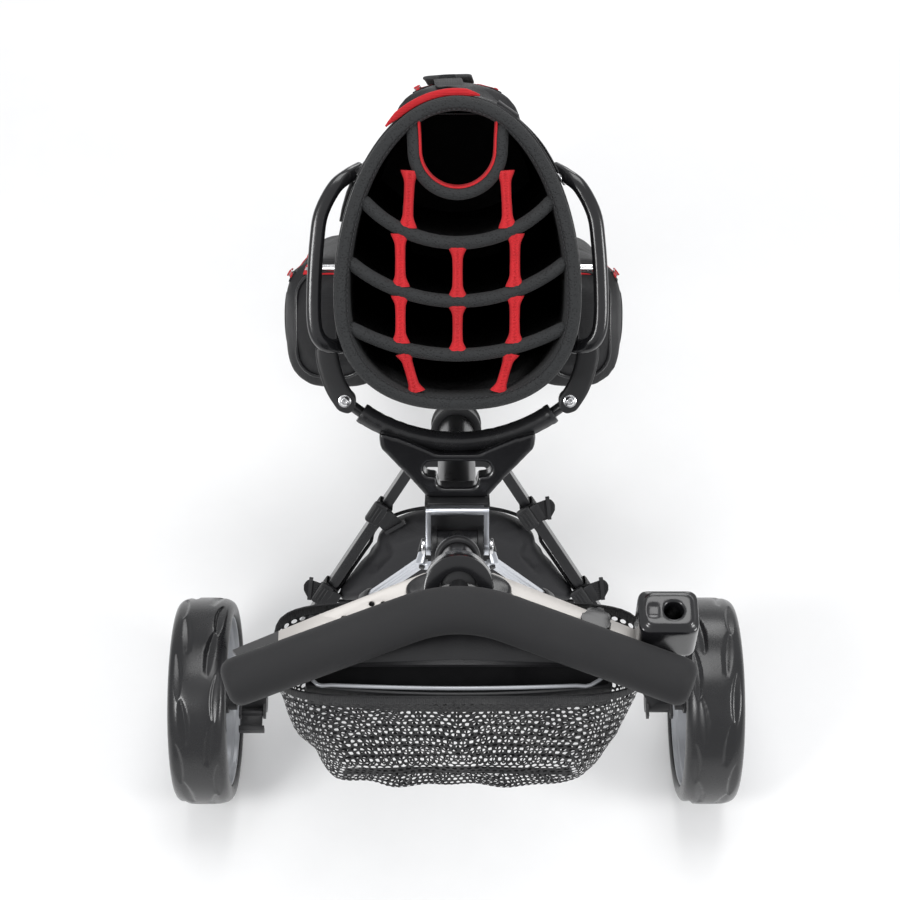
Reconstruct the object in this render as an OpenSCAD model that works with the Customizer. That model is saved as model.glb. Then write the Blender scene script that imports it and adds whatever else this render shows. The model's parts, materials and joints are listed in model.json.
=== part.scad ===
// Golf bag on a three-wheeled push cart.
// +Z up, +Y towards the front wheel, origin on the ground under the middle of the whole object.

/* [Wheels] */
// Diameter of each rear wheel
rear_wheel_d = 254; // [246:2:260]
// Width of each rear tyre
rear_tyre_w = 70; // [64:2:74]
// Distance between the outer faces of the rear tyres
track_w = 686; // [680:2:700]
// Diameter of the front wheel
front_wheel_d = 200; // [190:2:204]
// Width of the front tyre
front_tyre_w = 50; // [44:2:54]
// Height of the rubber on each rear wheel
tyre_h = 22; // [18:1:26]

/* [Frame] */
// Slope of the main tube below the horizontal, in degrees
tube_slope = 41.3; // [41:0.1:42]
// Diameter of the main tube
tube_d = 42; // [40:1:44]
// Length of the main tube
tube_l = 830; // [825:1:835]
// Distance of the leg hinges down the main tube
hub_z = 387; // [384:1:390]
// Half distance between the two leg hinges
leg_pivot_x = 45; // [44:1:46]
// Half distance between the lower ends of the legs
leg_end_x = 250; // [248:1:252]

/* [Bag] */
// Tilt of the bag's long axis above the horizontal, in degrees
bag_tilt = 47; // [46.5:0.5:47.5]
// Length of the bag from its mouth to its base
bag_l = 860; // [850:5:865]
// Half width of the mouth
mouth_a = 120; // [118:1:121]
// Height of the mouth above its widest place
mouth_up = 196; // [190:1:198]
// Depth of the mouth below its widest place
mouth_dn = 109; // [105:1:110]
// Depth of the padded cuff around the mouth
cuff_l = 105; // [95:5:108]

/* [Handle] */
// Half width of the V handle, measured to its bar ends
handle_x = 176; // [170:1:178]
// How far the bar ends sit behind the apex of the V
handle_sweep = 71; // [66:1:74]
// Diameter of the foam grip
foam_d = 40; // [36:1:42]

/* [Hidden] */
$fn = 64;

// running clearance on a radius, and the gap between neighbouring faces
fit = 0.05;
gap = 0.5;
tiny = 0.01;

// --- the main tube's own frame: z down the tube, y towards its underside ---
rear_r = rear_wheel_d / 2;
front_r = front_wheel_d / 2;
under_dir = [0, -sin(tube_slope), -cos(tube_slope)];
down_dir = [0, cos(tube_slope), -sin(tube_slope)];
leg_drop = 349.5;
leg_pivot_y = 33.5;
tube_top = [0, 0, rear_r] - leg_drop * under_dir - hub_z * down_dir;
tube_r = tube_d / 2;
tube_start = 4;
tube_wall = 2;

// --- front wheel ---
front_axle_y = 760;
front_head = tube_top + (tube_start + tube_l) * down_dir;
fork_x = 36;
fork_t = 7;
axle_r = 6;

// --- rear wheels and their legs ---
tyre_mid_x = (track_w - rear_tyre_w) / 2;
rim_r = rear_r - tyre_h;
rim_w = rear_tyre_w - 8;
hub_in_x = 289;
hub_out_x = 332;
hub_r = 20;
leg_w = 12;
leg_h = 26;
leg_run = leg_drop - leg_pivot_y;
leg_reach = leg_end_x - leg_pivot_x;
leg_l = norm([leg_run, leg_reach]);
leg_angle = atan2(leg_reach, leg_run);
bracket_out_x = 267;
bracket_in_x = 234;

// --- hinge block, latch and struts ---
pin_y = 12;
pin_z = -26;
pin_r = 5;
ear_in_x = 20.5;
ear_out_x = 26;
bail_y = -26;
bail_z = -30;
strut_a = [34.5, 44, 24];
strut_reach = 286.7;
strut_b = [leg_pivot_x + strut_reach * sin(leg_angle), leg_pivot_y + strut_reach * cos(leg_angle), 361];
strut_split = 0.35;
strut_fold = leg_angle - 26;
folded_b = [leg_pivot_x + strut_reach * sin(strut_fold), leg_pivot_y + strut_reach * cos(strut_fold), 361];
strut_axis = cross(strut_b - strut_a, folded_b - strut_a);
strut_pin_r = 3;

// --- handle ---
apex = [0, -306, 936];
bar_end = [handle_x, apex.y - handle_sweep, 931];
stem_top = [0, -283, 914];
stem_r = 16;
bar_r = 11;
foam_r = foam_d / 2 - 0.5;
neck_r = 9;
deck_z = 905;
deck_t = 4;
tray_x = 128;
tray_rear = -378;
tray_front = -322;
tray_h = 33;

// --- bag ---
mouth = [0, 109, 869];
mouth_w0 = -40;
cradle_z = -70;
tip_x = 114;
tip_w = -149;
cradle_low = -192;
cradle_r = (tip_x * tip_x + pow(tip_w - cradle_low, 2)) / (2 * (tip_w - cradle_low));
cradle_mid_w = cradle_low + cradle_r;
cradle_half = asin(tip_x / cradle_r);
cradle_rod = 5.6;
bar_foam_r = 6.5;
// each divider bar: height of its ends, height of its middle
bars = [[57, 15], [-3, -42], [-67, -95]];
bridge_x = 56;
well_w = 105;
well_r = 42;

// the whole object's middle along Y, which the frame's origin sits under
origin_y = (front_axle_y + front_r + bar_end.y - foam_r) / 2;

// --- placing ---
module ground() translate([0, -origin_y, 0]) children();
module along_tube() ground() translate(tube_top) rotate([-90 - tube_slope, 0, 0]) children();
module in_bag() ground() translate(mouth) rotate([90 - bag_tilt, 0, 0]) children();
module left() mirror([1, 0, 0]) children();
module facing_x() rotate([0, 90, 0]) children();
module both_sides() {
    children();
    left() children();
}

// --- helpers ---
module rod(a, b, r) {
    d = b - a;
    translate(a) rotate([0, acos(d.z / norm(d)), atan2(d.y, d.x)]) cylinder(h = norm(d), r = r);
}

// a rod from a to b whose far end is domed
module domed_rod(a, b, r) {
    d = b - a;
    translate(a) rotate([0, acos(d.z / norm(d)), atan2(d.y, d.x)]) rotate_extrude() {
        square([r, norm(d)]);
        translate([0, norm(d)]) intersection() {
            circle(r);
            square(r);
        }
    }
}

// straight rods through a list of points, with a slightly fuller ball at each bend
module rod_path(pts, r) {
    for (i = [0:len(pts) - 2]) rod(pts[i], pts[i + 1], r);
    for (i = [1:len(pts) - 2]) translate(pts[i]) sphere(r * 1.06);
}

module box(low, high) translate(low) cube(high - low);

// a rectangle with round corners, made from exact arcs
module round_rect(x0, y0, x1, y1, r) {
    translate([x0 + r, y0]) square([x1 - x0 - 2 * r, y1 - y0]);
    translate([x0, y0 + r]) square([x1 - x0, y1 - y0 - 2 * r]);
    for (x = [x0 + r, x1 - r]) for (y = [y0 + r, y1 - r]) translate([x, y]) circle(r);
}

function signed_pow(v, p) = sign(v) * pow(abs(v), p);

// the bag's egg-shaped section, grown outwards by d
function egg(d, from = 0, to = 355) = [
    for (t = [from:5:to])
        let (c = cos(t), s = sin(t))
        s >= 0
            ? [(mouth_a + d) * c, mouth_w0 + (mouth_up + d) * s]
            : [(mouth_a + d) * signed_pow(c, 0.83), mouth_w0 + (mouth_dn + d) * signed_pow(s, 0.83)]
];

// half width of the bag's section at height w
function egg_half(w) = (w > mouth_w0)
    ? mouth_a * sqrt(1 - pow((w - mouth_w0) / mouth_up, 2))
    : mouth_a * pow(1 - pow((mouth_w0 - w) / mouth_dn, 2.4), 1 / 2.4);

module egg_tube(d_out, d_in, z0, z1) {
    translate([0, 0, z0]) linear_extrude(z1 - z0) difference() {
        polygon(egg(d_out));
        polygon(egg(d_in));
    }
}

// an arc of a ring lying in XY, its middle at the bottom
module low_arc(ring_r, half, rod_r) {
    rotate([0, 0, 270 - half]) rotate_extrude(angle = 2 * half) translate([ring_r, 0]) circle(rod_r, $fn = 32);
}

// --- wheels, turned about z, then laid along X ---
module tyre_solid(r, w, h) {
    inner = r - h;
    profile = concat(
        [for (a = [0:10:180]) [inner + h * pow(sin(a), 0.5), w / 2 * signed_pow(cos(a), 0.6)]],
        [[inner, -w / 2 + 4], [inner, w / 2 - 4]]
    );
    rotate_extrude($fn = 96) polygon(profile);
}

module rim_solid(r, w, web_z, hub_z0, hub_z1) {
    difference() {
        union() {
            difference() {
                translate([0, 0, -w / 2]) cylinder(h = w, r = r - fit);
                translate([0, 0, -w / 2 - 1]) cylinder(h = w + 2, r = r - 5);
            }
            translate([0, 0, web_z]) cylinder(h = 5, r = r - 3);
            translate([0, 0, hub_z0]) cylinder(h = hub_z1 - hub_z0, r = hub_r);
            translate([0, 0, web_z - 4]) difference() {
                cylinder(h = 5, r = r * 0.72);
                translate([0, 0, -1]) cylinder(h = 5, r = r * 0.66);
            }
            for (a = [0:72:359]) rotate([0, 0, a]) box([hub_r - 4, -9, web_z + 4], [r - 4, 9, web_z + 9]);
        }
        translate([0, 0, hub_z0 - 1]) cylinder(h = hub_z1 - hub_z0 + 2, r = axle_r + fit);
    }
}

module at_rear_wheel() ground() translate([tyre_mid_x, 0, rear_r]) facing_x() children();
module at_front_wheel() ground() translate([0, front_axle_y, front_r]) facing_x() children();
module on_rear_axle() ground() translate([0, 0, rear_r]) facing_x() children();

module rear_tyre() color([0.13, 0.13, 0.14]) at_rear_wheel() tyre_solid(rear_r, rear_tyre_w, tyre_h);

module rear_rim() {
    color([0.55, 0.55, 0.57]) at_rear_wheel()
        rim_solid(rim_r, rim_w, 6, hub_in_x - tyre_mid_x, hub_out_x - tyre_mid_x);
}

module hub_cap() {
    color([0.2, 0.2, 0.21]) on_rear_axle() difference() {
        translate([0, 0, hub_out_x + 0.2]) cylinder(h = 8, r1 = 24, r2 = 20);
        translate([0, 0, hub_out_x]) cylinder(h = 4, r = axle_r + 2);
    }
}

module rear_axle() {
    color("silver") on_rear_axle() {
        translate([0, 0, bracket_in_x + 3]) cylinder(h = hub_out_x + 2 - bracket_in_x - 3, r = axle_r);
    }
}

module wheel_release() {
    color([0.1, 0.1, 0.1]) on_rear_axle() difference() {
        union() {
            translate([0, 0, 271]) cylinder(h = 10, r = 12);
            translate([0, 0, 281]) cylinder(h = 4.5, r = 16);
        }
        translate([0, 0, 270]) cylinder(h = 17, r = axle_r + 0.2);
    }
}

// --- front wheel ---
module front_tyre() color([0.13, 0.13, 0.14]) at_front_wheel() tyre_solid(front_r, front_tyre_w, 19);

module front_rim() color([0.55, 0.55, 0.57]) at_front_wheel() rim_solid(front_r - 19, front_tyre_w - 8, -2, -30, 30);

module front_axle() {
    color("silver") at_front_wheel() {
        translate([0, 0, -fork_x - fork_t - 5]) cylinder(h = 2 * (fork_x + fork_t + 5), r = axle_r);
        for (z = [-fork_x - fork_t - 7.3, fork_x + fork_t + 0.3]) translate([0, 0, z]) cylinder(h = 7, r = 10);
    }
}

module fork_arm() {
    difference() {
        hull() for (p = [front_head, [0, front_axle_y, front_r]])
            translate([fork_x, p.y, p.z]) facing_x() cylinder(h = fork_t, r = 16, $fn = 32);
        translate([fork_x - 1, front_axle_y, front_r]) facing_x() cylinder(h = fork_t + 2, r = axle_r + fit);
    }
}

module front_fork() color([0.16, 0.16, 0.17]) ground() both_sides() fork_arm();

module front_bracket() {
    color([0.12, 0.12, 0.13]) difference() {
        union() {
            along_tube() translate([0, 0, tube_start + tube_l - 80]) cylinder(h = 84, r = tube_r + 6);
            ground() translate([-fork_x + 0.2, front_head.y, front_head.z]) facing_x()
                cylinder(h = 2 * fork_x - 0.4, r = 22);
        }
        along_tube() translate([0, 0, tube_start + tube_l - 81]) cylinder(h = 81 + fit, r = tube_r + fit);
    }
}

// --- main tube and leg hub ---
module main_tube() {
    color([0.1, 0.1, 0.11]) along_tube() translate([0, 0, tube_start]) difference() {
        cylinder(h = tube_l, r = tube_r);
        translate([0, 0, -1]) cylinder(h = tube_l + 2, r = tube_r - tube_wall);
    }
}

module hub_plate(z0) {
    translate([0, 0, z0]) linear_extrude(5) difference() {
        union() {
            translate([-leg_pivot_x, leg_pivot_y - 14]) square([2 * leg_pivot_x, 24]);
            for (x = [-leg_pivot_x, leg_pivot_x]) translate([x, leg_pivot_y]) circle(15);
            circle(tube_r + 9);
        }
        circle(tube_r + fit);
        for (x = [-leg_pivot_x, leg_pivot_x]) translate([x, leg_pivot_y]) circle(4 + fit);
    }
}

module leg_hub() {
    plate_z = leg_h / 2 + gap;
    color([0.12, 0.12, 0.13]) along_tube() translate([0, 0, hub_z]) {
        hub_plate(plate_z);
        hub_plate(-plate_z - 5);
        difference() {
            translate([0, 0, -plate_z]) cylinder(h = 2 * plate_z, r = tube_r + 7);
            translate([0, 0, -plate_z - 1]) cylinder(h = 2 * plate_z + 2, r = tube_r + fit);
        }
    }
}

module leg_pins() {
    reach = leg_h / 2 + gap + 5;
    color("silver") along_tube() both_sides() translate([leg_pivot_x, leg_pivot_y, hub_z]) {
        translate([0, 0, -reach - 3]) cylinder(h = 2 * reach + 6, r = 4);
        for (z = [-reach - 4, reach + 0.2]) translate([0, 0, z]) cylinder(h = 3.8, r = 7);
    }
}

// --- legs ---
module leg() {
    color([0.12, 0.12, 0.13]) along_tube() difference() {
        union() {
            translate([leg_pivot_x, leg_pivot_y, hub_z - leg_h / 2]) cylinder(h = leg_h, r = 13);
            translate([leg_pivot_x, leg_pivot_y, hub_z]) rotate([0, 0, -leg_angle])
                box([-leg_w / 2, 6, 0.1 - leg_h / 2], [leg_w / 2, leg_l - 16, leg_h / 2 - 0.1]);
            translate([strut_b.x, strut_b.y, strut_b.z - 8]) cylinder(h = hub_z - strut_b.z, r = 4.5);
        }
        translate([leg_pivot_x, leg_pivot_y, hub_z - 20]) cylinder(h = 40, r = 4 + fit);
    }
}

brake_y = -21;
brake_z = rear_r + 6;
brake_pin_r = 2.5;
lug_t = 3.5;
// the bracket on the end of a leg: it holds the axle, and its two lugs take the brake pedal's pin
module axle_bracket(with_pin) {
    color([0.35, 0.35, 0.37]) {
        difference() {
            union() {
                on_rear_axle() translate([0, 0, bracket_in_x]) cylinder(h = bracket_out_x - bracket_in_x, r = 15);
                along_tube() translate([leg_pivot_x, leg_pivot_y, hub_z]) rotate([0, 0, -leg_angle])
                    box([-9, leg_l - 60, -16], [9, leg_l - 4, 16]);
                ground() for (x = [bracket_in_x, bracket_out_x - lug_t])
                    box([x, brake_y - 5, brake_z - 5], [x + lug_t, -8, brake_z + 5]);
            }
            on_rear_axle() translate([0, 0, bracket_in_x + 3]) cylinder(h = 40, r = axle_r + fit);
            along_tube() translate([leg_pivot_x, leg_pivot_y, hub_z]) rotate([0, 0, -leg_angle])
                box([-leg_w / 2 - tiny, leg_l - 70, -leg_h / 2 - tiny],
                    [leg_w / 2 + tiny, leg_l - 16, leg_h / 2 + tiny]);
        }
        if (with_pin) ground() translate([bracket_in_x + 1, brake_y, brake_z]) facing_x()
            cylinder(h = bracket_out_x - bracket_in_x - 2, r = brake_pin_r);
    }
}

module brake_pedal() {
    x0 = bracket_in_x + lug_t + gap;
    x1 = bracket_out_x - lug_t - gap;
    color([0.6, 0.61, 0.64]) ground() difference() {
        union() {
            translate([x0, brake_y, brake_z]) facing_x() cylinder(h = x1 - x0, r = 5);
            box([x0, brake_y - 20, brake_z - 2.5], [x1, brake_y, brake_z + 2.5]);
            box([x0 - 3, brake_y - 25, brake_z - 4], [x1 + 3, brake_y - 19, brake_z + 6]);
        }
        translate([x0 - 5, brake_y, brake_z]) facing_x() cylinder(h = 40, r = brake_pin_r + fit);
    }
}

// --- struts from the hinge block to the legs ---
module on_strut_axis(from, h, r) {
    tilt = acos(strut_axis.z / norm(strut_axis));
    turn = atan2(strut_axis.y, strut_axis.x);
    translate(strut_a) rotate([0, tilt, turn]) translate([0, 0, from]) cylinder(h = h, r = r);
}

module strut() {
    mid = strut_a + strut_split * (strut_b - strut_a);
    ring_end = strut_a + (strut_split + 0.05) * (strut_b - strut_a);
    tip = strut_b - 15 * (strut_b - strut_a) / norm(strut_b - strut_a);
    along_tube() {
        color("silver") difference() {
            union() {
                rod(strut_a, mid, 6);
                on_strut_axis(-7, 14, 8);
            }
            on_strut_axis(-8, 16, strut_pin_r + fit);
        }
        color([0.1, 0.1, 0.1]) rod(mid, ring_end, 9);
        color("silver") rod(ring_end, tip, 4);
        color([0.1, 0.1, 0.1]) translate(strut_b - [0, 0, 4]) difference() {
            cylinder(h = 8, r = 16);
            translate([0, 0, -1]) cylinder(h = 10, r = 10);
        }
    }
}

// --- hinge block, latch and upper bag bracket ---
module hinge_block() {
    color([0.1, 0.1, 0.11]) along_tube() difference() {
        union() {
            box([-30, -28, -8], [30, 34, 52]);
            for (y = [-20, 26]) translate([-30, y, -8]) box([-3, -6, 0], [63, 6, 52]);
            both_sides() {
                on_strut_axis(7.6, 13, 9);
                on_strut_axis(-9, 17, strut_pin_r);
                box([ear_in_x, pin_y - 16, pin_z], [ear_out_x, pin_y + 16, -7]);
                translate([ear_in_x, pin_y, pin_z]) facing_x() cylinder(h = ear_out_x - ear_in_x, r = 16);
            }
        }
        translate([0, 0, tube_start - 1]) cylinder(h = 60, r = tube_r + fit);
        translate([-40, pin_y, pin_z]) facing_x() cylinder(h = 80, r = pin_r + fit);
    }
}

module hinge_pin() {
    color("silver") along_tube() translate([0, pin_y, pin_z]) facing_x() {
        translate([0, 0, -34]) cylinder(h = 68, r = pin_r);
        for (z = [-36, 32.2]) translate([0, 0, z]) cylinder(h = 3.8, r = 8);
    }
}

module latch_lever() {
    leg_x0 = ear_out_x + 0.6;
    color([0.62, 0.65, 0.7]) along_tube() difference() {
        union() {
            both_sides() {
                translate([leg_x0, pin_y, pin_z]) facing_x() cylinder(h = 5, r = 9);
                box([leg_x0, bail_y, pin_z - 8], [leg_x0 + 5, pin_y, pin_z + 4]);
            }
            translate([-leg_x0 - 5, bail_y, bail_z]) facing_x() cylinder(h = 2 * leg_x0 + 10, r = 4);
            box([-leg_x0, bail_y - 4, bail_z], [leg_x0, bail_y + 1, bail_z + 8]);
        }
        translate([-40, pin_y, pin_z]) facing_x() cylinder(h = 80, r = pin_r + fit);
    }
}

module y_bracket() {
    outline = [
        [-31, -28.2], [-46, -46], [-78, -80], [-80, -96], [-58, -91], [-20, -74],
        [20, -74], [58, -91], [80, -96], [78, -80], [46, -46], [31, -28.2],
    ];
    color([0.14, 0.14, 0.15]) along_tube() translate([0, 0, 10]) linear_extrude(30) difference() {
        polygon(outline);
        round_rect(-34, -66, 34, -50, 7);
        round_rect(-20, -56, 20, -38, 6);
    }
}

module cradle_bar() {
    color([0.12, 0.12, 0.13]) in_bag() difference() {
        union() {
            translate([0, cradle_mid_w, cradle_z]) low_arc(cradle_r, cradle_half - 2.5, cradle_rod);
            both_sides() translate([tip_x, tip_w, cradle_z - 6]) cylinder(h = 12, r = 11);
        }
        both_sides() translate([tip_x, tip_w, cradle_z - 7]) cylinder(h = 14, r = 4 + fit);
    }
}

module cradle_sleeve() {
    half = cradle_half - 7;
    color([0.18, 0.18, 0.19]) in_bag() translate([0, cradle_mid_w, cradle_z])
        rotate([0, 0, 270 - half]) rotate_extrude(angle = 2 * half) translate([cradle_r, 0]) difference() {
            circle(10);
            circle(cradle_rod + tiny);
        }
}

module cradle_rivets() {
    color("silver") in_bag() both_sides() translate([tip_x, tip_w, cradle_z]) {
        translate([0, 0, -8]) cylinder(h = 22, r = 4);
        for (z = [-9, 12.8]) translate([0, 0, z]) cylinder(h = 2.7, r = 7);
    }
}

module cradle_tip() {
    low_z = cradle_z - 25;
    face_z = cradle_z + 6.4;
    color([0.15, 0.15, 0.16]) in_bag() difference() {
        union() {
            translate([tip_x, tip_w, face_z]) cylinder(h = 6, r = 13);
            translate([tip_x, tip_w, face_z]) rotate([0, 0, -20]) box([-7, 6, 0.3], [9, 34, 5.7]);
            translate([tip_x, tip_w, 0]) rotate([0, 0, -12]) box([6, 26, low_z], [11, 58, face_z + 5]);
        }
        translate([tip_x, tip_w, face_z - 1]) cylinder(h = 8, r = 4 + fit);
    }
}

module upper_bag_strap() {
    z0 = cradle_z - 22;
    ring = concat(egg(3, 0, 180), [[-mouth_a - 3, -96]]);
    inner = concat(egg(0.5, 0, 180), [[-mouth_a - 0.5, -96]]);
    strap = concat([[mouth_a + 3, -96]], ring);
    inside = concat([[mouth_a + 0.5, -96]], inner);
    color([0.2, 0.2, 0.21]) in_bag() translate([0, 0, z0]) linear_extrude(30)
        polygon(concat(strap, [for (i = [len(inside) - 1:-1:0]) inside[i]]));
}

module lower_bracket() {
    base_z = -bag_l - 1;
    low_w = mouth_w0 - mouth_dn - 5;
    color([0.12, 0.12, 0.13]) difference() {
        union() {
            in_bag() box([-60, low_w - 8, base_z - 8], [60, -30, base_z]);
            in_bag() box([-60, low_w - 8, base_z - 8], [60, low_w, base_z + 150]);
            in_bag() box([-26, low_w - 52, base_z + 75], [26, low_w - 6, base_z + 150]);
        }
        along_tube() cylinder(h = tube_l + 40, r = tube_r + fit);
        in_bag() translate([0, 0, base_z + 0.5]) linear_extrude(bag_l) polygon(egg(3.5));
    }
}

// a band that follows the egg section from one angle to another
module egg_band(d_out, d_in, from, to, z0, z1) {
    back = egg(d_in, from, to);
    translate([0, 0, z0]) linear_extrude(z1 - z0)
        polygon(concat(egg(d_out, from, to), [for (i = [len(back) - 1:-1:0]) back[i]]));
}

module lower_bag_strap() color([0.2, 0.2, 0.21]) in_bag() egg_band(5, 2.5, -35, 215, -bag_l + 14, -bag_l + 42);

// --- pouch strapped between the legs ---
function leg_x_at(y) = leg_pivot_x + (y - leg_pivot_y) * leg_reach / leg_run;
pouch_top = 97;
pouch_low = 222;
pouch_gap = 12;

module leg_pouch() {
    side = [for (y = [pouch_top + 26:16:pouch_low]) [leg_x_at(y) - pouch_gap, y]];
    dome = [for (a = [90:-15:15])
        [(leg_x_at(pouch_top + 26) - pouch_gap) * cos(a), pouch_top + 26 - 26 * sin(a)]];
    half = concat(dome, side);
    outline = concat(half, [for (i = [len(half) - 1:-1:0]) [-half[i].x, half[i].y]]);
    color([0.3, 0.3, 0.32]) along_tube() translate([0, 0, hub_z - 26]) linear_extrude(58) polygon(outline);
}

module strap_loop(y) {
    along = (y - leg_pivot_y) / cos(leg_angle);
    translate([leg_pivot_x, leg_pivot_y, hub_z]) rotate([0, 0, -leg_angle]) translate([0, along, 0]) {
        difference() {
            box([-leg_w / 2 - 3, -13, -leg_h / 2 - 3], [leg_w / 2 + 3, 13, leg_h / 2 + 3]);
            box([-leg_w / 2 - 0.3, -14, -leg_h / 2 - 0.3], [leg_w / 2 + 0.3, 14, leg_h / 2 + 0.3]);
        }
        box([-leg_w / 2 - 1, -16, -leg_h / 2 - 9], [leg_w / 2 + 1, 16, -leg_h / 2 - 3]);
    }
}

module pouch_straps() color([0.08, 0.08, 0.08]) along_tube() for (y = [104, 206]) strap_loop(y);

// --- handle ---
module stem_line(from, to, r) {
    start = tube_top + pin_y * under_dir + pin_z * down_dir;
    dir = (stem_top - start) / norm(stem_top - start);
    rod(start + from * dir, stem_top + to * dir, r);
}

module handle_tube() {
    color([0.12, 0.12, 0.13]) difference() {
        union() {
            along_tube() translate([-20, pin_y, pin_z]) facing_x() cylinder(h = 40, r = 15);
            ground() stem_line(0, 0, stem_r);
        }
        along_tube() translate([-30, pin_y, pin_z]) facing_x() cylinder(h = 60, r = pin_r + fit);
    }
}

// the two arms of the V, mitred where they meet
module v_bar(r, domed = false) {
    behind = apex - 20 * (bar_end - apex) / norm(bar_end - apex);
    both_sides() intersection() {
        if (domed) domed_rod(behind, bar_end, r);
        else rod(behind, bar_end, r);
        translate([0, apex.y - 300, apex.z - 100]) cube([300, 400, 200]);
    }
}

module handle_bar() {
    color([0.2, 0.2, 0.21]) ground() {
        v_bar(bar_r);
        difference() {
            rod(stem_top, apex, neck_r);
            stem_line(200, 0, stem_r + tiny);
        }
    }
}

module handle_grip() {
    color([0.23, 0.23, 0.24]) ground() difference() {
        v_bar(foam_r, true);
        v_bar(bar_r + tiny);
        rod(stem_top, apex, neck_r + 0.2);
    }
}

module handle_collar() {
    color([0.15, 0.15, 0.16]) ground() difference() {
        stem_line(290, 4, 30);
        stem_line(280, 10, stem_r + fit);
    }
}

module console_top() {
    half = [[30, -264], [120, -305], [190, -338], [172, -362], [tray_x, -352]];
    outline = concat(half, [for (i = [len(half) - 1:-1:0]) [-half[i].x, half[i].y]]);
    color([0.6, 0.58, 0.56]) ground() difference() {
        translate([0, 0, deck_z]) linear_extrude(deck_t) difference() {
            polygon(outline);
            for (x = [-74, -64]) translate([x, -294]) circle(2.6);
            for (x = [-92, 76]) translate([x, -308]) round_rect(-8, -2.5, 8, 2.5, 2.4);
        }
        stem_line(200, 30, 30 + gap);
    }
}

module tray_outline(inset) {
    rear = [for (x = [-tray_x + inset:(tray_x - inset) / 8:tray_x - inset + tiny])
        [x, tray_rear + inset + 8 * pow(x / tray_x, 2)]];
    polygon(concat(rear, [[tray_x - inset, tray_front - inset], [-tray_x + inset, tray_front - inset]]));
}

module console_tray() {
    color([0.15, 0.15, 0.16]) ground() translate([0, 0, deck_z - gap - tray_h]) difference() {
        linear_extrude(tray_h) tray_outline(0);
        translate([0, 0, 3]) linear_extrude(tray_h) tray_outline(3);
    }
}

knob_at = [115, -318, deck_z + deck_t + 0.3];
module accessory_knob() {
    color([0.12, 0.12, 0.13]) ground() translate(knob_at) difference() {
        cylinder(h = 15, r = 13);
        for (a = [0:45:359]) rotate([0, 0, a]) translate([16, 0, 2]) cylinder(h = 20, r = 4.5, $fn = 24);
    }
}

holder_x = 173;
holder_y = -326;
module umbrella_holder() {
    color([0.14, 0.14, 0.15]) ground() difference() {
        union() {
            translate([holder_x, holder_y, deck_z + deck_t]) linear_extrude(44) round_rect(-25, -19, 25, 21, 8);
            translate([holder_x - 1, holder_y, deck_z + deck_t + 40]) linear_extrude(8)
                round_rect(-19, -15, 22, 16, 7);
        }
        translate([holder_x + 4, holder_y, deck_z + deck_t + 10]) cylinder(h = 60, r = 8);
        translate([holder_x - 19, holder_y - 6, deck_z + deck_t + 46]) cube([12, 12, 5]);
    }
}

module net_shell(d) {
    hull() {
        translate([-150 + d, -384 + d, deck_z - 5]) cube([300 - 2 * d, 96 - 2 * d, 1]);
        translate([-138 + d, -384 + d, 830]) cube([276 - 2 * d, 92 - 2 * d, 1]);
        translate([-104 + d, -380 + d, 700 + d]) cube([208 - 2 * d, 66 - 2 * d, 1]);
    }
}

module storage_net() {
    color([0.05, 0.05, 0.05]) ground() difference() {
        net_shell(0);
        net_shell(2.5);
        box([-144, -381, deck_z - 6], [144, -291, deck_z + 10]);
        box([-125, -330, 862], [125, -280, deck_z + 10]);
    }
}

// --- golf bag, in the frame of its mouth: z out of the mouth, y up the mouth ---
module bag_cuff() color([0.12, 0.12, 0.12]) in_bag() egg_tube(0, -14, -cuff_l, 0);

module bag_body() {
    color([0.09, 0.09, 0.1]) in_bag() difference() {
        translate([0, 0, -bag_l + 11]) linear_extrude(bag_l - 11 - cuff_l) polygon(egg(-5));
        translate([0, 0, -bag_l + 15]) linear_extrude(bag_l) polygon(egg(-9));
    }
}

module bag_base() {
    color([0.1, 0.1, 0.1]) in_bag() translate([0, 0, -bag_l]) difference() {
        linear_extrude(60) polygon(egg(1.5));
        translate([0, 0, 10]) linear_extrude(60) polygon(egg(-4.9));
    }
}

function bar_ring(b) = let (c = bar_chord(b), h = b[0] - b[1]) (c * c + h * h) / (2 * h);
function bar_chord(b) = egg_half(b[0]) - 12;
function bar_w(b, x) = b[1] + bar_ring(b) - sqrt(pow(bar_ring(b), 2) - x * x);

module divider_bars() {
    color([0.13, 0.13, 0.14]) in_bag() for (b = bars)
        translate([0, b[1] + bar_ring(b), -bar_foam_r - 3])
            low_arc(bar_ring(b), asin(bar_chord(b) / bar_ring(b)), bar_foam_r);
}

module bridge(x0, w0, x1, w1) {
    rod([x0, w0, -bar_foam_r - 3], [x1, w1, -bar_foam_r - 3], 5.5);
}

module divider_bridges() {
    reach = bar_foam_r - 1;
    color([0.8, 0.12, 0.18]) in_bag() {
        both_sides() {
            bridge(46, 84, 48, bar_w(bars[0], 48) + reach);
            bridge(bridge_x, bar_w(bars[0], bridge_x) - reach, bridge_x, bar_w(bars[1], bridge_x) + reach);
            bridge(bridge_x, bar_w(bars[1], bridge_x) - reach, bridge_x, bar_w(bars[2], bridge_x) + reach);
            bridge(bridge_x - 4, bar_w(bars[2], bridge_x) - reach, 42, mouth_w0 - mouth_dn + 18);
        }
        for (i = [0:1]) bridge(0, bars[i][1] - reach, 0, bars[i + 1][1] + reach);
    }
}

module putter_well() {
    color([0.2, 0.2, 0.21]) in_bag() translate([0, well_w, -bar_foam_r - 3]) {
        low_arc(well_r, 90, bar_foam_r);
        both_sides() rod([well_r, -3, 0], [well_r + 2, 26, 0], bar_foam_r - 0.3);
    }
}

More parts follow.
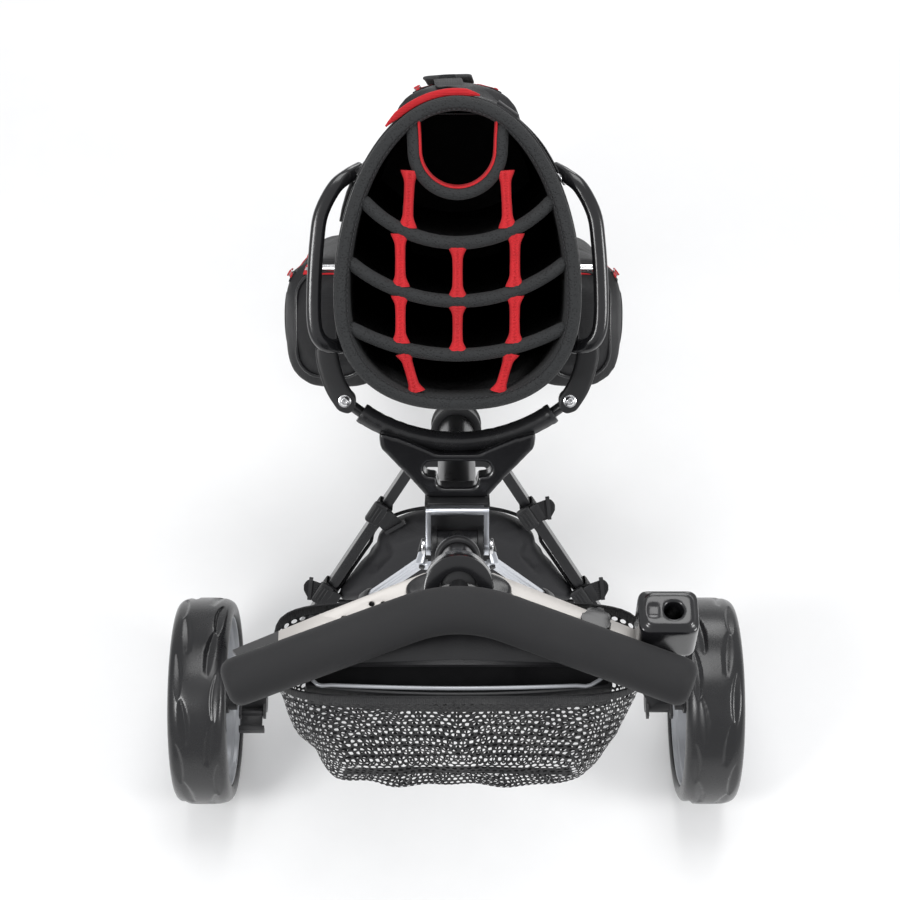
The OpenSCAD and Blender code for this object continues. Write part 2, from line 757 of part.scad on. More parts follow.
module lift_handles() {
    loop_z = -34;
    right = [[100, 82, loop_z - 20], [122, 66, loop_z], [138, 20, loop_z + 4], [142, -66, loop_z + 4],
        [132, -88, loop_z], [113, -90, loop_z - 20]];
    color([0.2, 0.2, 0.21]) in_bag() both_sides() rod_path(right, 7);
}

module side_pocket() {
    color([0.13, 0.13, 0.14]) in_bag() difference() {
        translate([0, 0, -560]) linear_extrude(420) round_rect(70, -160, 184, -6, 34);
        translate([0, 0, -600]) linear_extrude(500) polygon(egg(gap - 5));
        box([60, -170, -600], [102, -100, -100]);
    }
}

module ball_pocket() {
    color([0.13, 0.13, 0.14]) in_bag() difference() {
        translate([0, 0, -430]) linear_extrude(312) round_rect(-70, 60, 70, 172, 40);
        translate([0, 0, -600]) linear_extrude(500) polygon(egg(gap - 5));
    }
}

module shoulder_strap() {
    pts = [[69, 131, -54], [69, 132, -104], [65, 168, -114], [65, 168, -436], [68, 134, -470], [68, 134, -520]];
    color([0.1, 0.1, 0.1]) in_bag() for (i = [0:len(pts) - 2]) hull() for (p = [pts[i], pts[i + 1]])
        translate(p) rotate([0, 0, -45]) cube([38, 4, 4], center = true);
}

main_tube();
leg_hub();
leg_pins();
front_bracket();
front_fork();
front_axle();
front_rim();
front_tyre();
lower_bracket();
lower_bag_strap();
hinge_block();
hinge_pin();
latch_lever();
y_bracket();
cradle_bar();
cradle_sleeve();
cradle_rivets();
left() cradle_tip();  // cradle_tip_left
cradle_tip();  // cradle_tip_right
upper_bag_strap();
left() leg();  // leg_left
leg();  // leg_right
left() axle_bracket(true);  // axle_bracket_left
axle_bracket(false);  // axle_bracket_right
left() rear_axle();  // rear_axle_left
rear_axle();  // rear_axle_right
left() rear_rim();  // rear_rim_left
rear_rim();  // rear_rim_right
left() rear_tyre();  // rear_tyre_left
rear_tyre();  // rear_tyre_right
left() hub_cap();  // hub_cap_left
hub_cap();  // hub_cap_right
left() wheel_release();  // wheel_release_left
wheel_release();  // wheel_release_right
left() strut();  // strut_left
strut();  // strut_right
left() brake_pedal();
leg_pouch();
left() pouch_straps();  // pouch_straps_left
pouch_straps();  // pouch_straps_right
handle_tube();
handle_bar();
handle_grip();
handle_collar();
console_top();
console_tray();
accessory_knob();
umbrella_holder();
storage_net();
bag_body();
bag_base();
bag_cuff();
divider_bars();
divider_bridges();
putter_well();
lift_handles();
left() side_pocket();  // side_pocket_left
side_pocket();  // side_pocket_right
ball_pocket();
shoulder_strap();
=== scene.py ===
"""Looks of the golf bag on its three-wheeled push cart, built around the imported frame."""
import json
import math

import bmesh
import bpy
import numpy as np
from mathutils import Matrix, Vector, noise
from mathutils.bvhtree import BVHTree

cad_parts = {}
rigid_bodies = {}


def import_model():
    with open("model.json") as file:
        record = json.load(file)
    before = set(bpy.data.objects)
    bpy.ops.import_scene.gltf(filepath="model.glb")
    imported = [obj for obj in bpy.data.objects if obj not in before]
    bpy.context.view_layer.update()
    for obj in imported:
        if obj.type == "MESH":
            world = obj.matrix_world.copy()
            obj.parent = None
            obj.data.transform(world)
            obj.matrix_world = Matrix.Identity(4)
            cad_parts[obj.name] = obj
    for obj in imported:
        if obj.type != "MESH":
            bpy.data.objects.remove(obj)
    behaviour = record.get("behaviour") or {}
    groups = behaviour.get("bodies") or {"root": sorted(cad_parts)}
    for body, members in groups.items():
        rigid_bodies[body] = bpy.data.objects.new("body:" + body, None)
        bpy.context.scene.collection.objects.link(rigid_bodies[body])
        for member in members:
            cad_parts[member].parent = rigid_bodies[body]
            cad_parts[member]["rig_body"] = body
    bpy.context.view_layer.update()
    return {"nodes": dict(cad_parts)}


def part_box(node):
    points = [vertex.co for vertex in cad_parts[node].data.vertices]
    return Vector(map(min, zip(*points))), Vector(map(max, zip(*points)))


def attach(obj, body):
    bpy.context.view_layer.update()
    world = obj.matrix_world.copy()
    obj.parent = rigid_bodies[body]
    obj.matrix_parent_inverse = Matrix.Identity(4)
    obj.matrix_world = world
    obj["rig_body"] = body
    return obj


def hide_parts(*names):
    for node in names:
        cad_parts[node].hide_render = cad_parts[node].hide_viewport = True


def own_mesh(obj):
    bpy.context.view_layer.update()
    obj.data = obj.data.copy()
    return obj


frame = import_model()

TAU = 2 * math.pi

# ---------------------------------------------------------------- places
# Local frames are in millimetres and give metres in the row frame.
AXLE_Y = sum(corner.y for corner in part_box("rear_tyre_left")) / 2


def local_frame(origin, turn):
    """Millimetres from the ground under the rear axle, turned about X by turn degrees."""
    return (Matrix.Translation(Vector((0, AXLE_Y, 0)) + Vector(origin) * 0.001)
            @ Matrix.Rotation(math.radians(turn), 4, "X") @ Matrix.Scale(0.001, 4))


TUBE_SLOPE = 41.3
HUB_Z = 387.0
LEG_HINGE = Vector((45, 33.5, HUB_Z))
LEG_RUN, LEG_REACH = 316.0, 205.0
LEG_ANGLE = math.atan2(LEG_REACH, LEG_RUN)
REAR_R, REAR_X, REAR_W, REAR_TYRE_H = 127.0, 308.0, 70.0, 22.0
FRONT_R, FRONT_Y, FRONT_W, FRONT_TYRE_H = 100.0, 760.0, 50.0, 19.0
BAG_L, CUFF_L = 860.0, 105.0

GROUND = local_frame((0, 0, 0), 0)
BAG = local_frame((0, 109, 869), 43)
TUBE = local_frame((0, -60.07, 644.99), -90 - TUBE_SLOPE)


def leg_frame(side):
    """A leg's own frame: y down the leg from its hinge, z down the main tube. side is 1 for the right leg."""
    hinge = Matrix.Translation(Vector((LEG_HINGE.x * side, LEG_HINGE.y, LEG_HINGE.z)))
    return TUBE @ hinge @ Matrix.Rotation(-LEG_ANGLE * side, 4, "Z")


def lerp(a, b, t):
    return a + (b - a) * t


def spow(value, power):
    return math.copysign(abs(value) ** power, value)


# ---------------------------------------------------------------- finishes
def material(name, colour, rough, metal=0.0, tint=0.25, relief="grain", size=1.2, bump=0.15, coat=0.0,
             sheen=0.0, wear=0.0, hollow_shade=0.0, spec=0.5):
    """A procedural finish whose colour and roughness drift, with a relief of grain, weave, cells or brush
    whose size is in millimetres. wear lightens the edges, and hollow_shade darkens the relief's low places as
    painted shade."""
    mat = bpy.data.materials.new(name)
    mat.use_nodes = True
    nodes, links = mat.node_tree.nodes, mat.node_tree.links
    shader = nodes["Principled BSDF"]
    coords = nodes.new("ShaderNodeTexCoord").outputs["Object"]

    def new(kind, **values):
        node = nodes.new(kind)
        for key, value in values.items():
            node.inputs[key].default_value = value
        return node

    def fac(node, vector=coords):
        links.new(vector, node.inputs["Vector"])
        return node.outputs["Fac"] if "Fac" in node.outputs else node.outputs["Distance"]

    def combine(operation, a, b):
        node = nodes.new("ShaderNodeMath")
        node.operation = operation
        for socket, value in zip(node.inputs, (a, b)):
            if isinstance(value, (int, float)):
                socket.default_value = value
            else:
                links.new(value, socket)
        return node.outputs["Value"]

    def ramp(value, low, high, out_low=0.0, out_high=1.0):
        node = nodes.new("ShaderNodeMapRange")
        for key, number in (("From Min", low), ("From Max", high), ("To Min", out_low), ("To Max", out_high)):
            node.inputs[key].default_value = number
        links.new(value, node.inputs["Value"])
        return node.outputs["Result"]

    def mixed(factor, a, b):
        node = nodes.new("ShaderNodeMix")
        node.data_type = "RGBA"
        links.new(factor, node.inputs[0])
        for index, value in ((6, a), (7, b)):
            if isinstance(value, tuple):
                node.inputs[index].default_value = (*value, 1)
            else:
                links.new(value, node.inputs[index])
        return node.outputs[2]

    if relief == "weave":
        height = 0.0
        for axis in "XYZ":
            wave = new("ShaderNodeTexWave", Scale=314 / size, Distortion=0.6, Detail=1.0)
            wave.bands_direction = axis
            height = combine("ADD", height, fac(wave))
        height = combine("DIVIDE", height, 3.0)
    elif relief == "cells":
        height = ramp(fac(new("ShaderNodeTexVoronoi", Scale=1000 / size)), 0.08, 0.5)
    elif relief == "brush":
        mapping = nodes.new("ShaderNodeMapping")
        mapping.inputs["Scale"].default_value = (1, 0.05, 0.05)
        links.new(coords, mapping.inputs["Vector"])
        height = fac(new("ShaderNodeTexNoise", Scale=1000 / size, Detail=3), mapping.outputs["Vector"])
    else:
        height = fac(new("ShaderNodeTexNoise", Scale=1000 / size, Detail=4, Roughness=0.6))

    drift = ramp(fac(new("ShaderNodeTexNoise", Scale=16, Detail=5, Roughness=0.6)), 0.3, 0.7)
    dark = tuple(c * (1 - tint) for c in colour)
    light = tuple(min(1, c * (1 + tint)) for c in colour)
    tone = mixed(drift, dark, light)
    # Painted shade: the relief's low places are darkened towards a fifth of the base colour.
    if hollow_shade:
        tone = mixed(ramp(height, 0.55, 0.15, 0.0, hollow_shade), tone, tuple(c * 0.2 for c in colour))
    if wear:
        edge = ramp(nodes.new("ShaderNodeNewGeometry").outputs["Pointiness"], 0.52, 0.6)
        worn = combine("MULTIPLY", edge, combine("MULTIPLY", drift, wear))
        tone = mixed(worn, tone, tuple(min(1, c * 2.2 + 0.05) for c in colour))
    links.new(tone, shader.inputs["Base Color"])
    patches = combine("ADD", combine("MULTIPLY", drift, 0.6), combine("MULTIPLY", height, 0.4))
    uneven = ramp(patches, 0.2, 0.8, max(0.03, rough * 0.82), min(1, rough * 1.18))
    links.new(uneven, shader.inputs["Roughness"])
    shader.inputs["Metallic"].default_value = metal
    shader.inputs["Coat Weight"].default_value = coat
    shader.inputs["Coat Roughness"].default_value = 0.18
    shader.inputs["Sheen Weight"].default_value = sheen
    shader.inputs["Specular IOR Level"].default_value = spec
    bumper = new("ShaderNodeBump", Strength=bump, Distance=0.001 * min(size, 1.5))
    links.new(height, bumper.inputs["Height"])
    links.new(bumper.outputs["Normal"], shader.inputs["Normal"])
    return mat


FINISH = {
    "tube_black": material("tube_black", (0.008, 0.008, 0.009), 0.3, size=0.5, bump=0.08, coat=0.2,
                           wear=0.15),
    "moulded_black": material("moulded_black", (0.011, 0.011, 0.012), 0.4, size=0.9, bump=0.2, wear=0.2,
                              spec=0.4),
    "gloss_black": material("gloss_black", (0.007, 0.007, 0.008), 0.22, size=2.5, bump=0.05, coat=0.3),
    "silver_metal": material("silver_metal", (0.6, 0.62, 0.66), 0.3, metal=1, relief="brush", size=0.6,
                             bump=0.1, tint=0.08),
    "steel": material("steel", (0.7, 0.7, 0.71), 0.22, metal=1, size=0.5, bump=0.06, tint=0.08),
    "tyre_rubber": material("tyre_rubber", (0.011, 0.011, 0.012), 0.27, size=2.2, bump=0.05, tint=0.2,
                            coat=0.1),
    "rim_grey": material("rim_grey", (0.36, 0.37, 0.39), 0.36, metal=0.35, size=0.5, bump=0.06, tint=0.08),
    "sleeve_rubber": material("sleeve_rubber", (0.01, 0.01, 0.011), 0.28, size=1.8, bump=0.1, coat=0.08),
    "grip_foam": material("grip_foam", (0.018, 0.018, 0.019), 0.75, size=0.7, bump=0.3, sheen=0.04, tint=0.12,
                          spec=0.22),
    "console_grey": material("console_grey", (0.42, 0.4, 0.38), 0.33, metal=0.25, size=0.6, bump=0.08,
                             tint=0.06, coat=0.2),
    "nylon_black": material("nylon_black", (0.009, 0.009, 0.01), 0.6, relief="weave", size=1.3, bump=0.4,
                            sheen=0.03, tint=0.35, spec=0.3),
    "nylon_grey": material("nylon_grey", (0.022, 0.022, 0.024), 0.55, relief="weave", size=1.1, bump=0.3,
                           sheen=0.04, tint=0.15, spec=0.3),
    "net_mesh": material("net_mesh", (0.006, 0.006, 0.007), 0.6, relief="weave", size=0.8, bump=0.3,
                         spec=0.25),
    # spacer_mesh and red_trim get painted shade in the hollows of their relief.
    "spacer_mesh": material("spacer_mesh", (0.019, 0.02, 0.021), 0.7, relief="cells", size=2.4, bump=0.6,
                            sheen=0.04, tint=0.15, hollow_shade=0.85, spec=0.3),
    "red_trim": material("red_trim", (0.5, 0.011, 0.017), 0.6, relief="weave", size=1.1, bump=0.5,
                         sheen=0.05, tint=0.14, hollow_shade=0.35, spec=0.25),
    "webbing": material("webbing", (0.008, 0.008, 0.009), 0.6, relief="weave", size=1.8, bump=0.5, spec=0.3),
}


# ---------------------------------------------------------------- mesh tools
def dress(obj, finish, body, replaces=()):
    """Gives a piece its finish, and the body it rides on."""
    obj.data.materials.clear()
    obj.data.materials.append(FINISH[finish])
    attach(obj, body)
    if replaces:
        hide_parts(*replaces)
    return obj


def make(name, shape, finish, body, at=GROUND, replaces=(), hard=40, recalc=True):
    """A piece from (verts, faces) in the local frame at. Edges sharper than hard degrees stay sharp."""
    verts, faces = shape
    mesh = bpy.data.meshes.new(name)
    mesh.from_pydata([at @ Vector(v) for v in verts], [], faces)
    if recalc:
        bm = bmesh.new()
        bm.from_mesh(mesh)
        bmesh.ops.recalc_face_normals(bm, faces=bm.faces)
        bm.to_mesh(mesh)
        bm.free()
    mesh.polygons.foreach_set("use_smooth", [True] * len(mesh.polygons))
    mesh.set_sharp_from_angle(angle=math.radians(hard))
    obj = bpy.data.objects.new(name, mesh)
    bpy.context.scene.collection.objects.link(obj)
    return dress(obj, finish, body, replaces)


def joined(*shapes):
    """Several (verts, faces) as one."""
    verts, faces = [], []
    for more_verts, more_faces in shapes:
        first = len(verts)
        verts += list(more_verts)
        faces += [tuple(first + i for i in face) for face in more_faces]
    return verts, faces


def mirrored(shape):
    verts, faces = shape
    return [(-v[0], v[1], v[2]) for v in verts], [tuple(reversed(face)) for face in faces]


def both(shape):
    return joined(shape, mirrored(shape))


def band(rows, cols, wrap_rows=False, wrap_cols=True):
    """The quads between rows of cols points each."""
    return [(i * cols + j, i * cols + (j + 1) % cols, (i + 1) % rows * cols + (j + 1) % cols,
             (i + 1) % rows * cols + j)
            for i in range(rows if wrap_rows else rows - 1) for j in range(cols if wrap_cols else cols - 1)]


def loft(rings, caps=True):
    """A skin over rings of equal length, closed at both ends unless caps is False."""
    cols = len(rings[0])
    faces = band(len(rings), cols)
    if caps:
        faces += [tuple(range(cols)), tuple(range((len(rings) - 1) * cols, len(rings) * cols))]
    return [point for ring in rings for point in ring], faces


def circle(r, n=16):
    return [(r * math.cos(TAU * i / n), r * math.sin(TAU * i / n)) for i in range(n)]


def fluted(r, depth, lobes):
    """A rod's section with flutes along it."""
    return [((r - depth * (i % 4 in (2, 3))) * math.cos(TAU * i / (4 * lobes)),
             (r - depth * (i % 4 in (2, 3))) * math.sin(TAU * i / (4 * lobes))) for i in range(4 * lobes)]


def flat(width, thick, n=20):
    """A strap's section: a flat bar with round edges."""
    return [(width / 2 * spow(math.cos(TAU * i / n), 0.35), thick / 2 * spow(math.sin(TAU * i / n), 0.6))
            for i in range(n)]


def curve(points, steps=8, closed=False):
    """A smooth line through points."""
    pts = [Vector(p) for p in points]
    count = len(pts)
    line = []
    for i in range(count if closed else count - 1):
        p0 = pts[i - 1] if (i or closed) else pts[0]
        p3 = pts[(i + 2) % count] if (i < count - 2 or closed) else pts[-1]
        p1, p2 = pts[i], pts[(i + 1) % count]
        for k in range(steps):
            t = k / steps
            line.append(0.5 * (2 * p1 + (p2 - p0) * t + (2 * p0 - 5 * p1 + 4 * p2 - p3) * t ** 2
                               + (3 * p1 - p0 - 3 * p2 + p3) * t ** 3))
    return line if closed else line + [pts[-1]]


def straight(a, b, steps=2):
    return [Vector(a).lerp(Vector(b), i / steps) for i in range(steps + 1)]


def sweep(path, section, up=(0, 0, 1), closed=False, size=None):
    """section, a loop of (side, up) points, carried along path. size gives each point's scale, or (side, up)
    scales. up is a direction, or one for each point."""
    pts = [Vector(p) for p in path]
    count, cols = len(pts), len(section)
    per_point = hasattr(up[0], "__len__")
    verts = []
    for i, point in enumerate(pts):
        before = pts[i - 1] if (i or closed) else point
        after = pts[(i + 1) % count] if (i < count - 1 or closed) else point
        along = (after - before).normalized()
        side = along.cross(Vector(up[i] if per_point else up)).normalized()
        top = side.cross(along)
        k = size[i] if size else 1
        kx, ky = k if isinstance(k, tuple) else (k, k)
        verts += [point + side * (x * kx) + top * (y * ky) for x, y in section]
    faces = band(count, cols, wrap_rows=closed)
    if not closed:
        faces += [tuple(range(cols)), tuple(range((count - 1) * cols, count * cols))]
    return verts, faces


def rounded_ends(path, r, reach=None):
    """The sizes that close a swept rod in a dome of radius r at both ends."""
    pts = [Vector(p) for p in path]
    length = [0.0]
    for a, b in zip(pts, pts[1:]):
        length.append(length[-1] + (b - a).length)
    reach = reach or r
    sizes = []
    for along in length:
        t = min(1.0, min(along, length[-1] - along) / reach)
        sizes.append(max(0.02, math.sqrt(1 - (1 - t) ** 2)))
    return sizes


def dome_path(path, r, steps=5):
    """Adds close points to both ends of a path, so that rounded_ends has something to round."""
    pts = [Vector(p) for p in path]
    for _ in range(2):
        first, second = pts[0], pts[1]
        way = (second - first).normalized()
        extra = [first + way * (r * (1 - math.cos(math.pi / 2 * k / steps))) for k in range(steps)]
        pts = extra + [p for p in pts[1:] if (p - first).length > r]
        pts.reverse()
    return pts


def rod(path, r, up=(0, 0, 1), n=16):
    """A round rod along path with domed ends."""
    line = dome_path(path, r)
    return sweep(line, circle(r, n), up, size=rounded_ends(line, r))


def turned(profile, centre, segments=96, axis="X", relief=None):
    """A closed profile of (along, radius) turned about an axis through centre."""
    verts = []
    for i in range(segments):
        angle = TAU * i / segments
        for along, radius in profile:
            r = radius - (relief(along, angle) if relief and radius > 0 else 0)
            a, b = r * math.cos(angle), r * math.sin(angle)
            offset = {"X": (along, a, b), "Y": (a, along, b), "Z": (a, b, along)}[axis]
            verts.append(tuple(c + o for c, o in zip(centre, offset)))
    return verts, band(segments, len(profile), wrap_rows=True)


def softened(profile, r, steps=3):
    """A closed profile with its corners rounded to about r."""
    pts = [Vector((*p, 0)) for p in profile]
    out = []
    for i, p in enumerate(pts):
        a, b = pts[i - 1] - p, pts[(i + 1) % len(pts)] - p
        cut = min(r, a.length * 0.45, b.length * 0.45)
        start, end = p + a.normalized() * cut, p + b.normalized() * cut
        for k in range(steps + 1):
            t = k / steps
            q = start * (1 - t) ** 2 + p * (2 * t * (1 - t)) + end * t ** 2
            out.append((q.x, q.y))
    return out


def slab(outline, z0, z1, edge=1.5):
    """A plate with a round edge over a closed outline of (x, y)."""
    pts = np.array(outline, float)
    before, after = np.roll(pts, 1, 0), np.roll(pts, -1, 0)
    way = after - before
    way /= np.linalg.norm(way, axis=1)[:, None] + 1e-9
    inward = np.stack([-way[:, 1], way[:, 0]], 1)
    area = np.sum(pts[:, 0] * after[:, 1] - after[:, 0] * pts[:, 1])
    if area < 0:
        inward = -inward
    rings = []
    for inset, z in ((1.0, z0), (0.3, z0 + edge * 0.3), (0, z0 + edge), (0, z1 - edge),
                     (0.3, z1 - edge * 0.3),
                     (1.0, z1)):
        ring = pts + inward * (inset * edge)
        rings.append([(x, y, z) for x, y in ring])
    return loft(rings)


def rounded_rect(x0, y0, x1, y1, r, steps=5):
    """A rectangle's outline with round corners."""
    out = []
    corners = ((x1 - r, y1 - r, 0), (x0 + r, y1 - r, 90), (x0 + r, y0 + r, 180), (x1 - r, y0 + r, 270))
    for cx, cy, start in corners:
        for k in range(steps + 1):
            a = math.radians(start + 90 * k / steps)
            out.append((cx + r * math.cos(a), cy + r * math.sin(a)))
    return out


def as_piece(name, mesh, finish, body, replaces, hard=None):
    """A smooth-shaded piece from a finished mesh. Edges sharper than hard degrees stay sharp."""
    for attribute in [a for a in mesh.attributes if a.name == "custom_normal"]:
        mesh.attributes.remove(attribute)
    mesh.polygons.foreach_set("use_smooth", [True] * len(mesh.polygons))
    if hard:
        mesh.set_sharp_from_angle(angle=math.radians(hard))
    obj = bpy.data.objects.new(name, mesh)
    bpy.context.scene.collection.objects.link(obj)
    return dress(obj, finish, body, replaces)


def bevelled(bm, name, finish, body, node, width):
    """Stands a mesh whose sharp edges get a bevel of width millimetres in a CAD node's place."""
    bmesh.ops.dissolve_limit(bm, angle_limit=math.radians(0.6), verts=bm.verts, edges=bm.edges)
    sharp = [e for e in bm.edges if len(e.link_faces) == 2 and e.calc_face_angle(0) > math.radians(30)]
    bmesh.ops.bevel(bm, geom=sharp, offset=width * 0.001, offset_type="OFFSET", segments=2, profile=0.5,
                    affect="EDGES", clamp_overlap=True)
    bmesh.ops.triangulate(bm, faces=[f for f in bm.faces if len(f.verts) > 4])
    mesh = bpy.data.meshes.new(name)
    bm.to_mesh(mesh)
    bm.free()
    return as_piece(name, mesh, finish, body, [node], 38)


def refine(node, finish, width):
    """Stands a bevelled copy of a rigid CAD node in its place."""
    bm = bmesh.new()
    bm.from_mesh(frame["nodes"][node].data)
    bmesh.ops.remove_doubles(bm, verts=bm.verts, dist=2e-5)
    bevelled(bm, node + "_shaped", finish, frame["nodes"][node]["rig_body"], node, width)


def inflate(obj, voxel=5.0, pressure=4.0, cap=8.0, frames=20):
    """Swells a closed form as stuffed cloth does, each point moving at most cap millimetres."""
    scene = bpy.context.scene
    remesh = obj.modifiers.new("remesh", "REMESH")
    remesh.mode = "VOXEL"
    remesh.voxel_size = voxel * 0.001
    mesh = bpy.data.meshes.new_from_object(obj.evaluated_get(bpy.context.evaluated_depsgraph_get()))
    obj.modifiers.clear()
    finish = obj.data.materials[0]
    obj.data = mesh
    mesh.materials.clear()
    mesh.materials.append(finish)
    start = np.empty(len(mesh.vertices) * 3)
    mesh.vertices.foreach_get("co", start)
    cloth = obj.modifiers.new("cloth", "CLOTH")
    cloth.settings.use_pressure = True
    cloth.settings.uniform_pressure_force = pressure
    cloth.settings.effector_weights.gravity = 0
    cloth.settings.quality = 4
    for number in range(1, frames + 1):
        scene.frame_set(number)
    evaluated = obj.evaluated_get(bpy.context.evaluated_depsgraph_get())
    end = np.empty(len(mesh.vertices) * 3)
    evaluated.data.vertices.foreach_get("co", end)
    obj.modifiers.clear()
    scene.frame_set(1)
    start, end = start.reshape(-1, 3), end.reshape(-1, 3)
    move = end - start
    length = np.linalg.norm(move, axis=1)[:, None] + 1e-12
    end = start + move * np.minimum(1, cap * 0.001 / length)
    mesh.vertices.foreach_set("co", end.ravel())
    mesh.polygons.foreach_set("use_smooth", [True] * len(mesh.polygons))
    mesh.update()


def melted(node, finish, voxel, passes):
    """Stands a copy of a moulded CAD node in its place, with every edge and corner flowing."""
    source = frame["nodes"][node]
    solid = bpy.data.objects.new("solid", source.data.copy())
    bpy.context.scene.collection.objects.link(solid)
    remesh = solid.modifiers.new("remesh", "REMESH")
    remesh.mode = "VOXEL"
    remesh.voxel_size = voxel * 0.001
    mesh = bpy.data.meshes.new_from_object(solid.evaluated_get(bpy.context.evaluated_depsgraph_get()))
    bpy.data.objects.remove(solid)
    bm = bmesh.new()
    bm.from_mesh(mesh)
    for _ in range(passes):
        bmesh.ops.smooth_vert(bm, verts=bm.verts, factor=0.5, use_axis_x=True, use_axis_y=True,
                              use_axis_z=True)
    bm.to_mesh(mesh)
    bm.free()
    as_piece(node + "_shaped", mesh, finish, source["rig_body"], [node])


def smooth_over(obj, levels=1):
    """Applies a subdivision, so that the mesh is final."""
    obj.modifiers.new("subdivide", "SUBSURF").levels = levels
    obj.modifiers["subdivide"].render_levels = levels
    mesh = bpy.data.meshes.new_from_object(obj.evaluated_get(bpy.context.evaluated_depsgraph_get()))
    obj.modifiers.clear()
    obj.data = mesh


# ---------------------------------------------------------------- camera, light and floor
def studio():
    """The photograph's view, with a pale floor and soft light."""
    scene = bpy.context.scene
    camera = bpy.data.objects.new("camera", bpy.data.cameras.new("camera"))
    scene.collection.objects.link(camera)
    camera.data.lens = 83.9
    camera.data.sensor_width = 36
    camera.data.clip_end = 50
    camera.location = GROUND @ Vector((-7.4, -1156, 2476.4))
    camera.rotation_euler = (math.radians(33), 0, 0)
    scene.camera = camera

    bm = bmesh.new()
    bmesh.ops.create_grid(bm, x_segments=8, y_segments=8, size=6)
    mesh = bpy.data.meshes.new("floor")
    bm.to_mesh(mesh)
    bm.free()
    floor = bpy.data.objects.new("floor", mesh)
    scene.collection.objects.link(floor)
    mesh.materials.append(material("floor", (0.86, 0.86, 0.86), 0.7, tint=0.01, size=3, bump=0.02))

    world = bpy.data.worlds.new("studio")
    world.use_nodes = True
    world.node_tree.nodes["Background"].inputs["Color"].default_value = (0.97, 0.98, 1.0, 1)
    world.node_tree.nodes["Background"].inputs["Strength"].default_value = 0.6
    scene.world = world
    for name, place, size, power in (("key", (-1.6, -1.5, 2.3), 0.9, 36), ("fill", (1.9, -1.2, 1.8), 0.8, 24),
                                     ("top", (0.1, 0.5, 3.0), 1.6, 30), ("rear", (0.5, 2.6, 1.8), 1.2, 18)):
        lamp = bpy.data.objects.new(name, bpy.data.lights.new(name, "AREA"))
        lamp.data.size = size
        lamp.data.energy = power
        lamp.location = place
        lamp.rotation_euler = (Vector((0, 0, 0.5)) - Vector(place)).to_track_quat("-Z", "Y").to_euler()
        scene.collection.objects.link(lamp)
    scene.view_settings.view_transform = "Standard"


studio()


# ---------------------------------------------------------------- wheels
def leaf_relief(radius, rows, count, length=62.0, width=14.0, depth=2.8):
    """Leaf-shaped hollows round a tread, steep towards its middle and fading outwards. rows gives each
    row's place across the tyre, its shift and its slant."""
    pitch = TAU / count

    def smooth(t):
        t = min(1.0, max(0.0, t))
        return t * t * (3 - 2 * t)

    def depth_at(across, angle):
        deepest = 0.0
        for place, shift, slant in rows:
            turn = (angle / pitch - shift + 0.5) % 1 - 0.5
            along = turn * pitch * radius
            reach = 1 - (2 * along / length) ** 2
            if reach <= 0:
                continue
            aside = (across - place - along * slant) * math.copysign(1, place)
            t = 0.5 + aside / (width * reach ** 0.7)
            deepest = max(deepest, depth * reach ** 0.5 * smooth(t / 0.2) * (1 - smooth((t - 0.2) / 0.8)))
        return deepest

    return depth_at


def tyre(name, node, body, centre, radius, width, height, rows, count):
    inner = radius - height
    steps = 64
    tread = [(width / 2 * spow(math.cos(math.pi * i / steps), 0.6),
              inner + height * math.sin(math.pi * i / steps) ** 0.5) for i in range(1, steps)]
    profile = ([(width / 2 - 4, inner + 0.1), (width / 2 - 1.2, inner + 1.5)] + tread
               + [(1.2 - width / 2, inner + 1.5), (4 - width / 2, inner + 0.1)])
    relief = leaf_relief(radius, rows, count)
    shape = turned(profile, centre, 360, relief=lambda x, a: relief(x, a) if abs(x) < width * 0.46 else 0)
    make(name, shape, "tyre_rubber", body, replaces=[node], hard=60)


def rim(name, node, body, centre, radius, half, out, hub_in, hub_out, hub_r):
    """out is +1 where the wheel's outer face looks along +X."""
    edge = radius - 0.1
    profile = [
        (-half, edge), (half, edge), (half, edge - 4), (half - 4, edge - 6), (16, edge - 7), (13, edge - 12),
        (11, edge - 14), (11, hub_r + 14), (15, hub_r + 6), (hub_out, hub_r), (hub_out, 6.1), (hub_in, 6.1),
        (hub_in, hub_r), (2, hub_r + 5), (5, hub_r + 12), (5, radius * 0.62), (2, radius * 0.64),
        (2, radius * 0.7),
        (5, radius * 0.72), (5, radius * 0.8), (1, radius * 0.82), (0, edge - 12), (-9, edge - 9.5),
        (-11, edge - 6.8), (-23, edge - 5.2), (-25, edge - 3.6), (-half, edge - 3),
    ]
    disc = turned(softened([(x * out, r) for x, r in profile], 1.4), centre, 128)
    spokes = []
    for k in range(5):
        angle = TAU * k / 5 + 0.3
        way = Vector((0, math.cos(angle), math.sin(angle)))
        foot = Vector(centre) + Vector((out * 12.5, 0, 0))
        path = [foot + way * lerp(hub_r - 2, radius - 9, t / 8) for t in range(9)]
        sizes = [(lerp(1.25, 0.8, 1 - abs(t / 4 - 1)), 1) for t in range(9)]
        spokes.append(sweep(path, flat(22, 9, 24), (out, 0, 0), size=sizes))
    make(name, joined(disc, *spokes), "rim_grey", body, replaces=[node], hard=35)


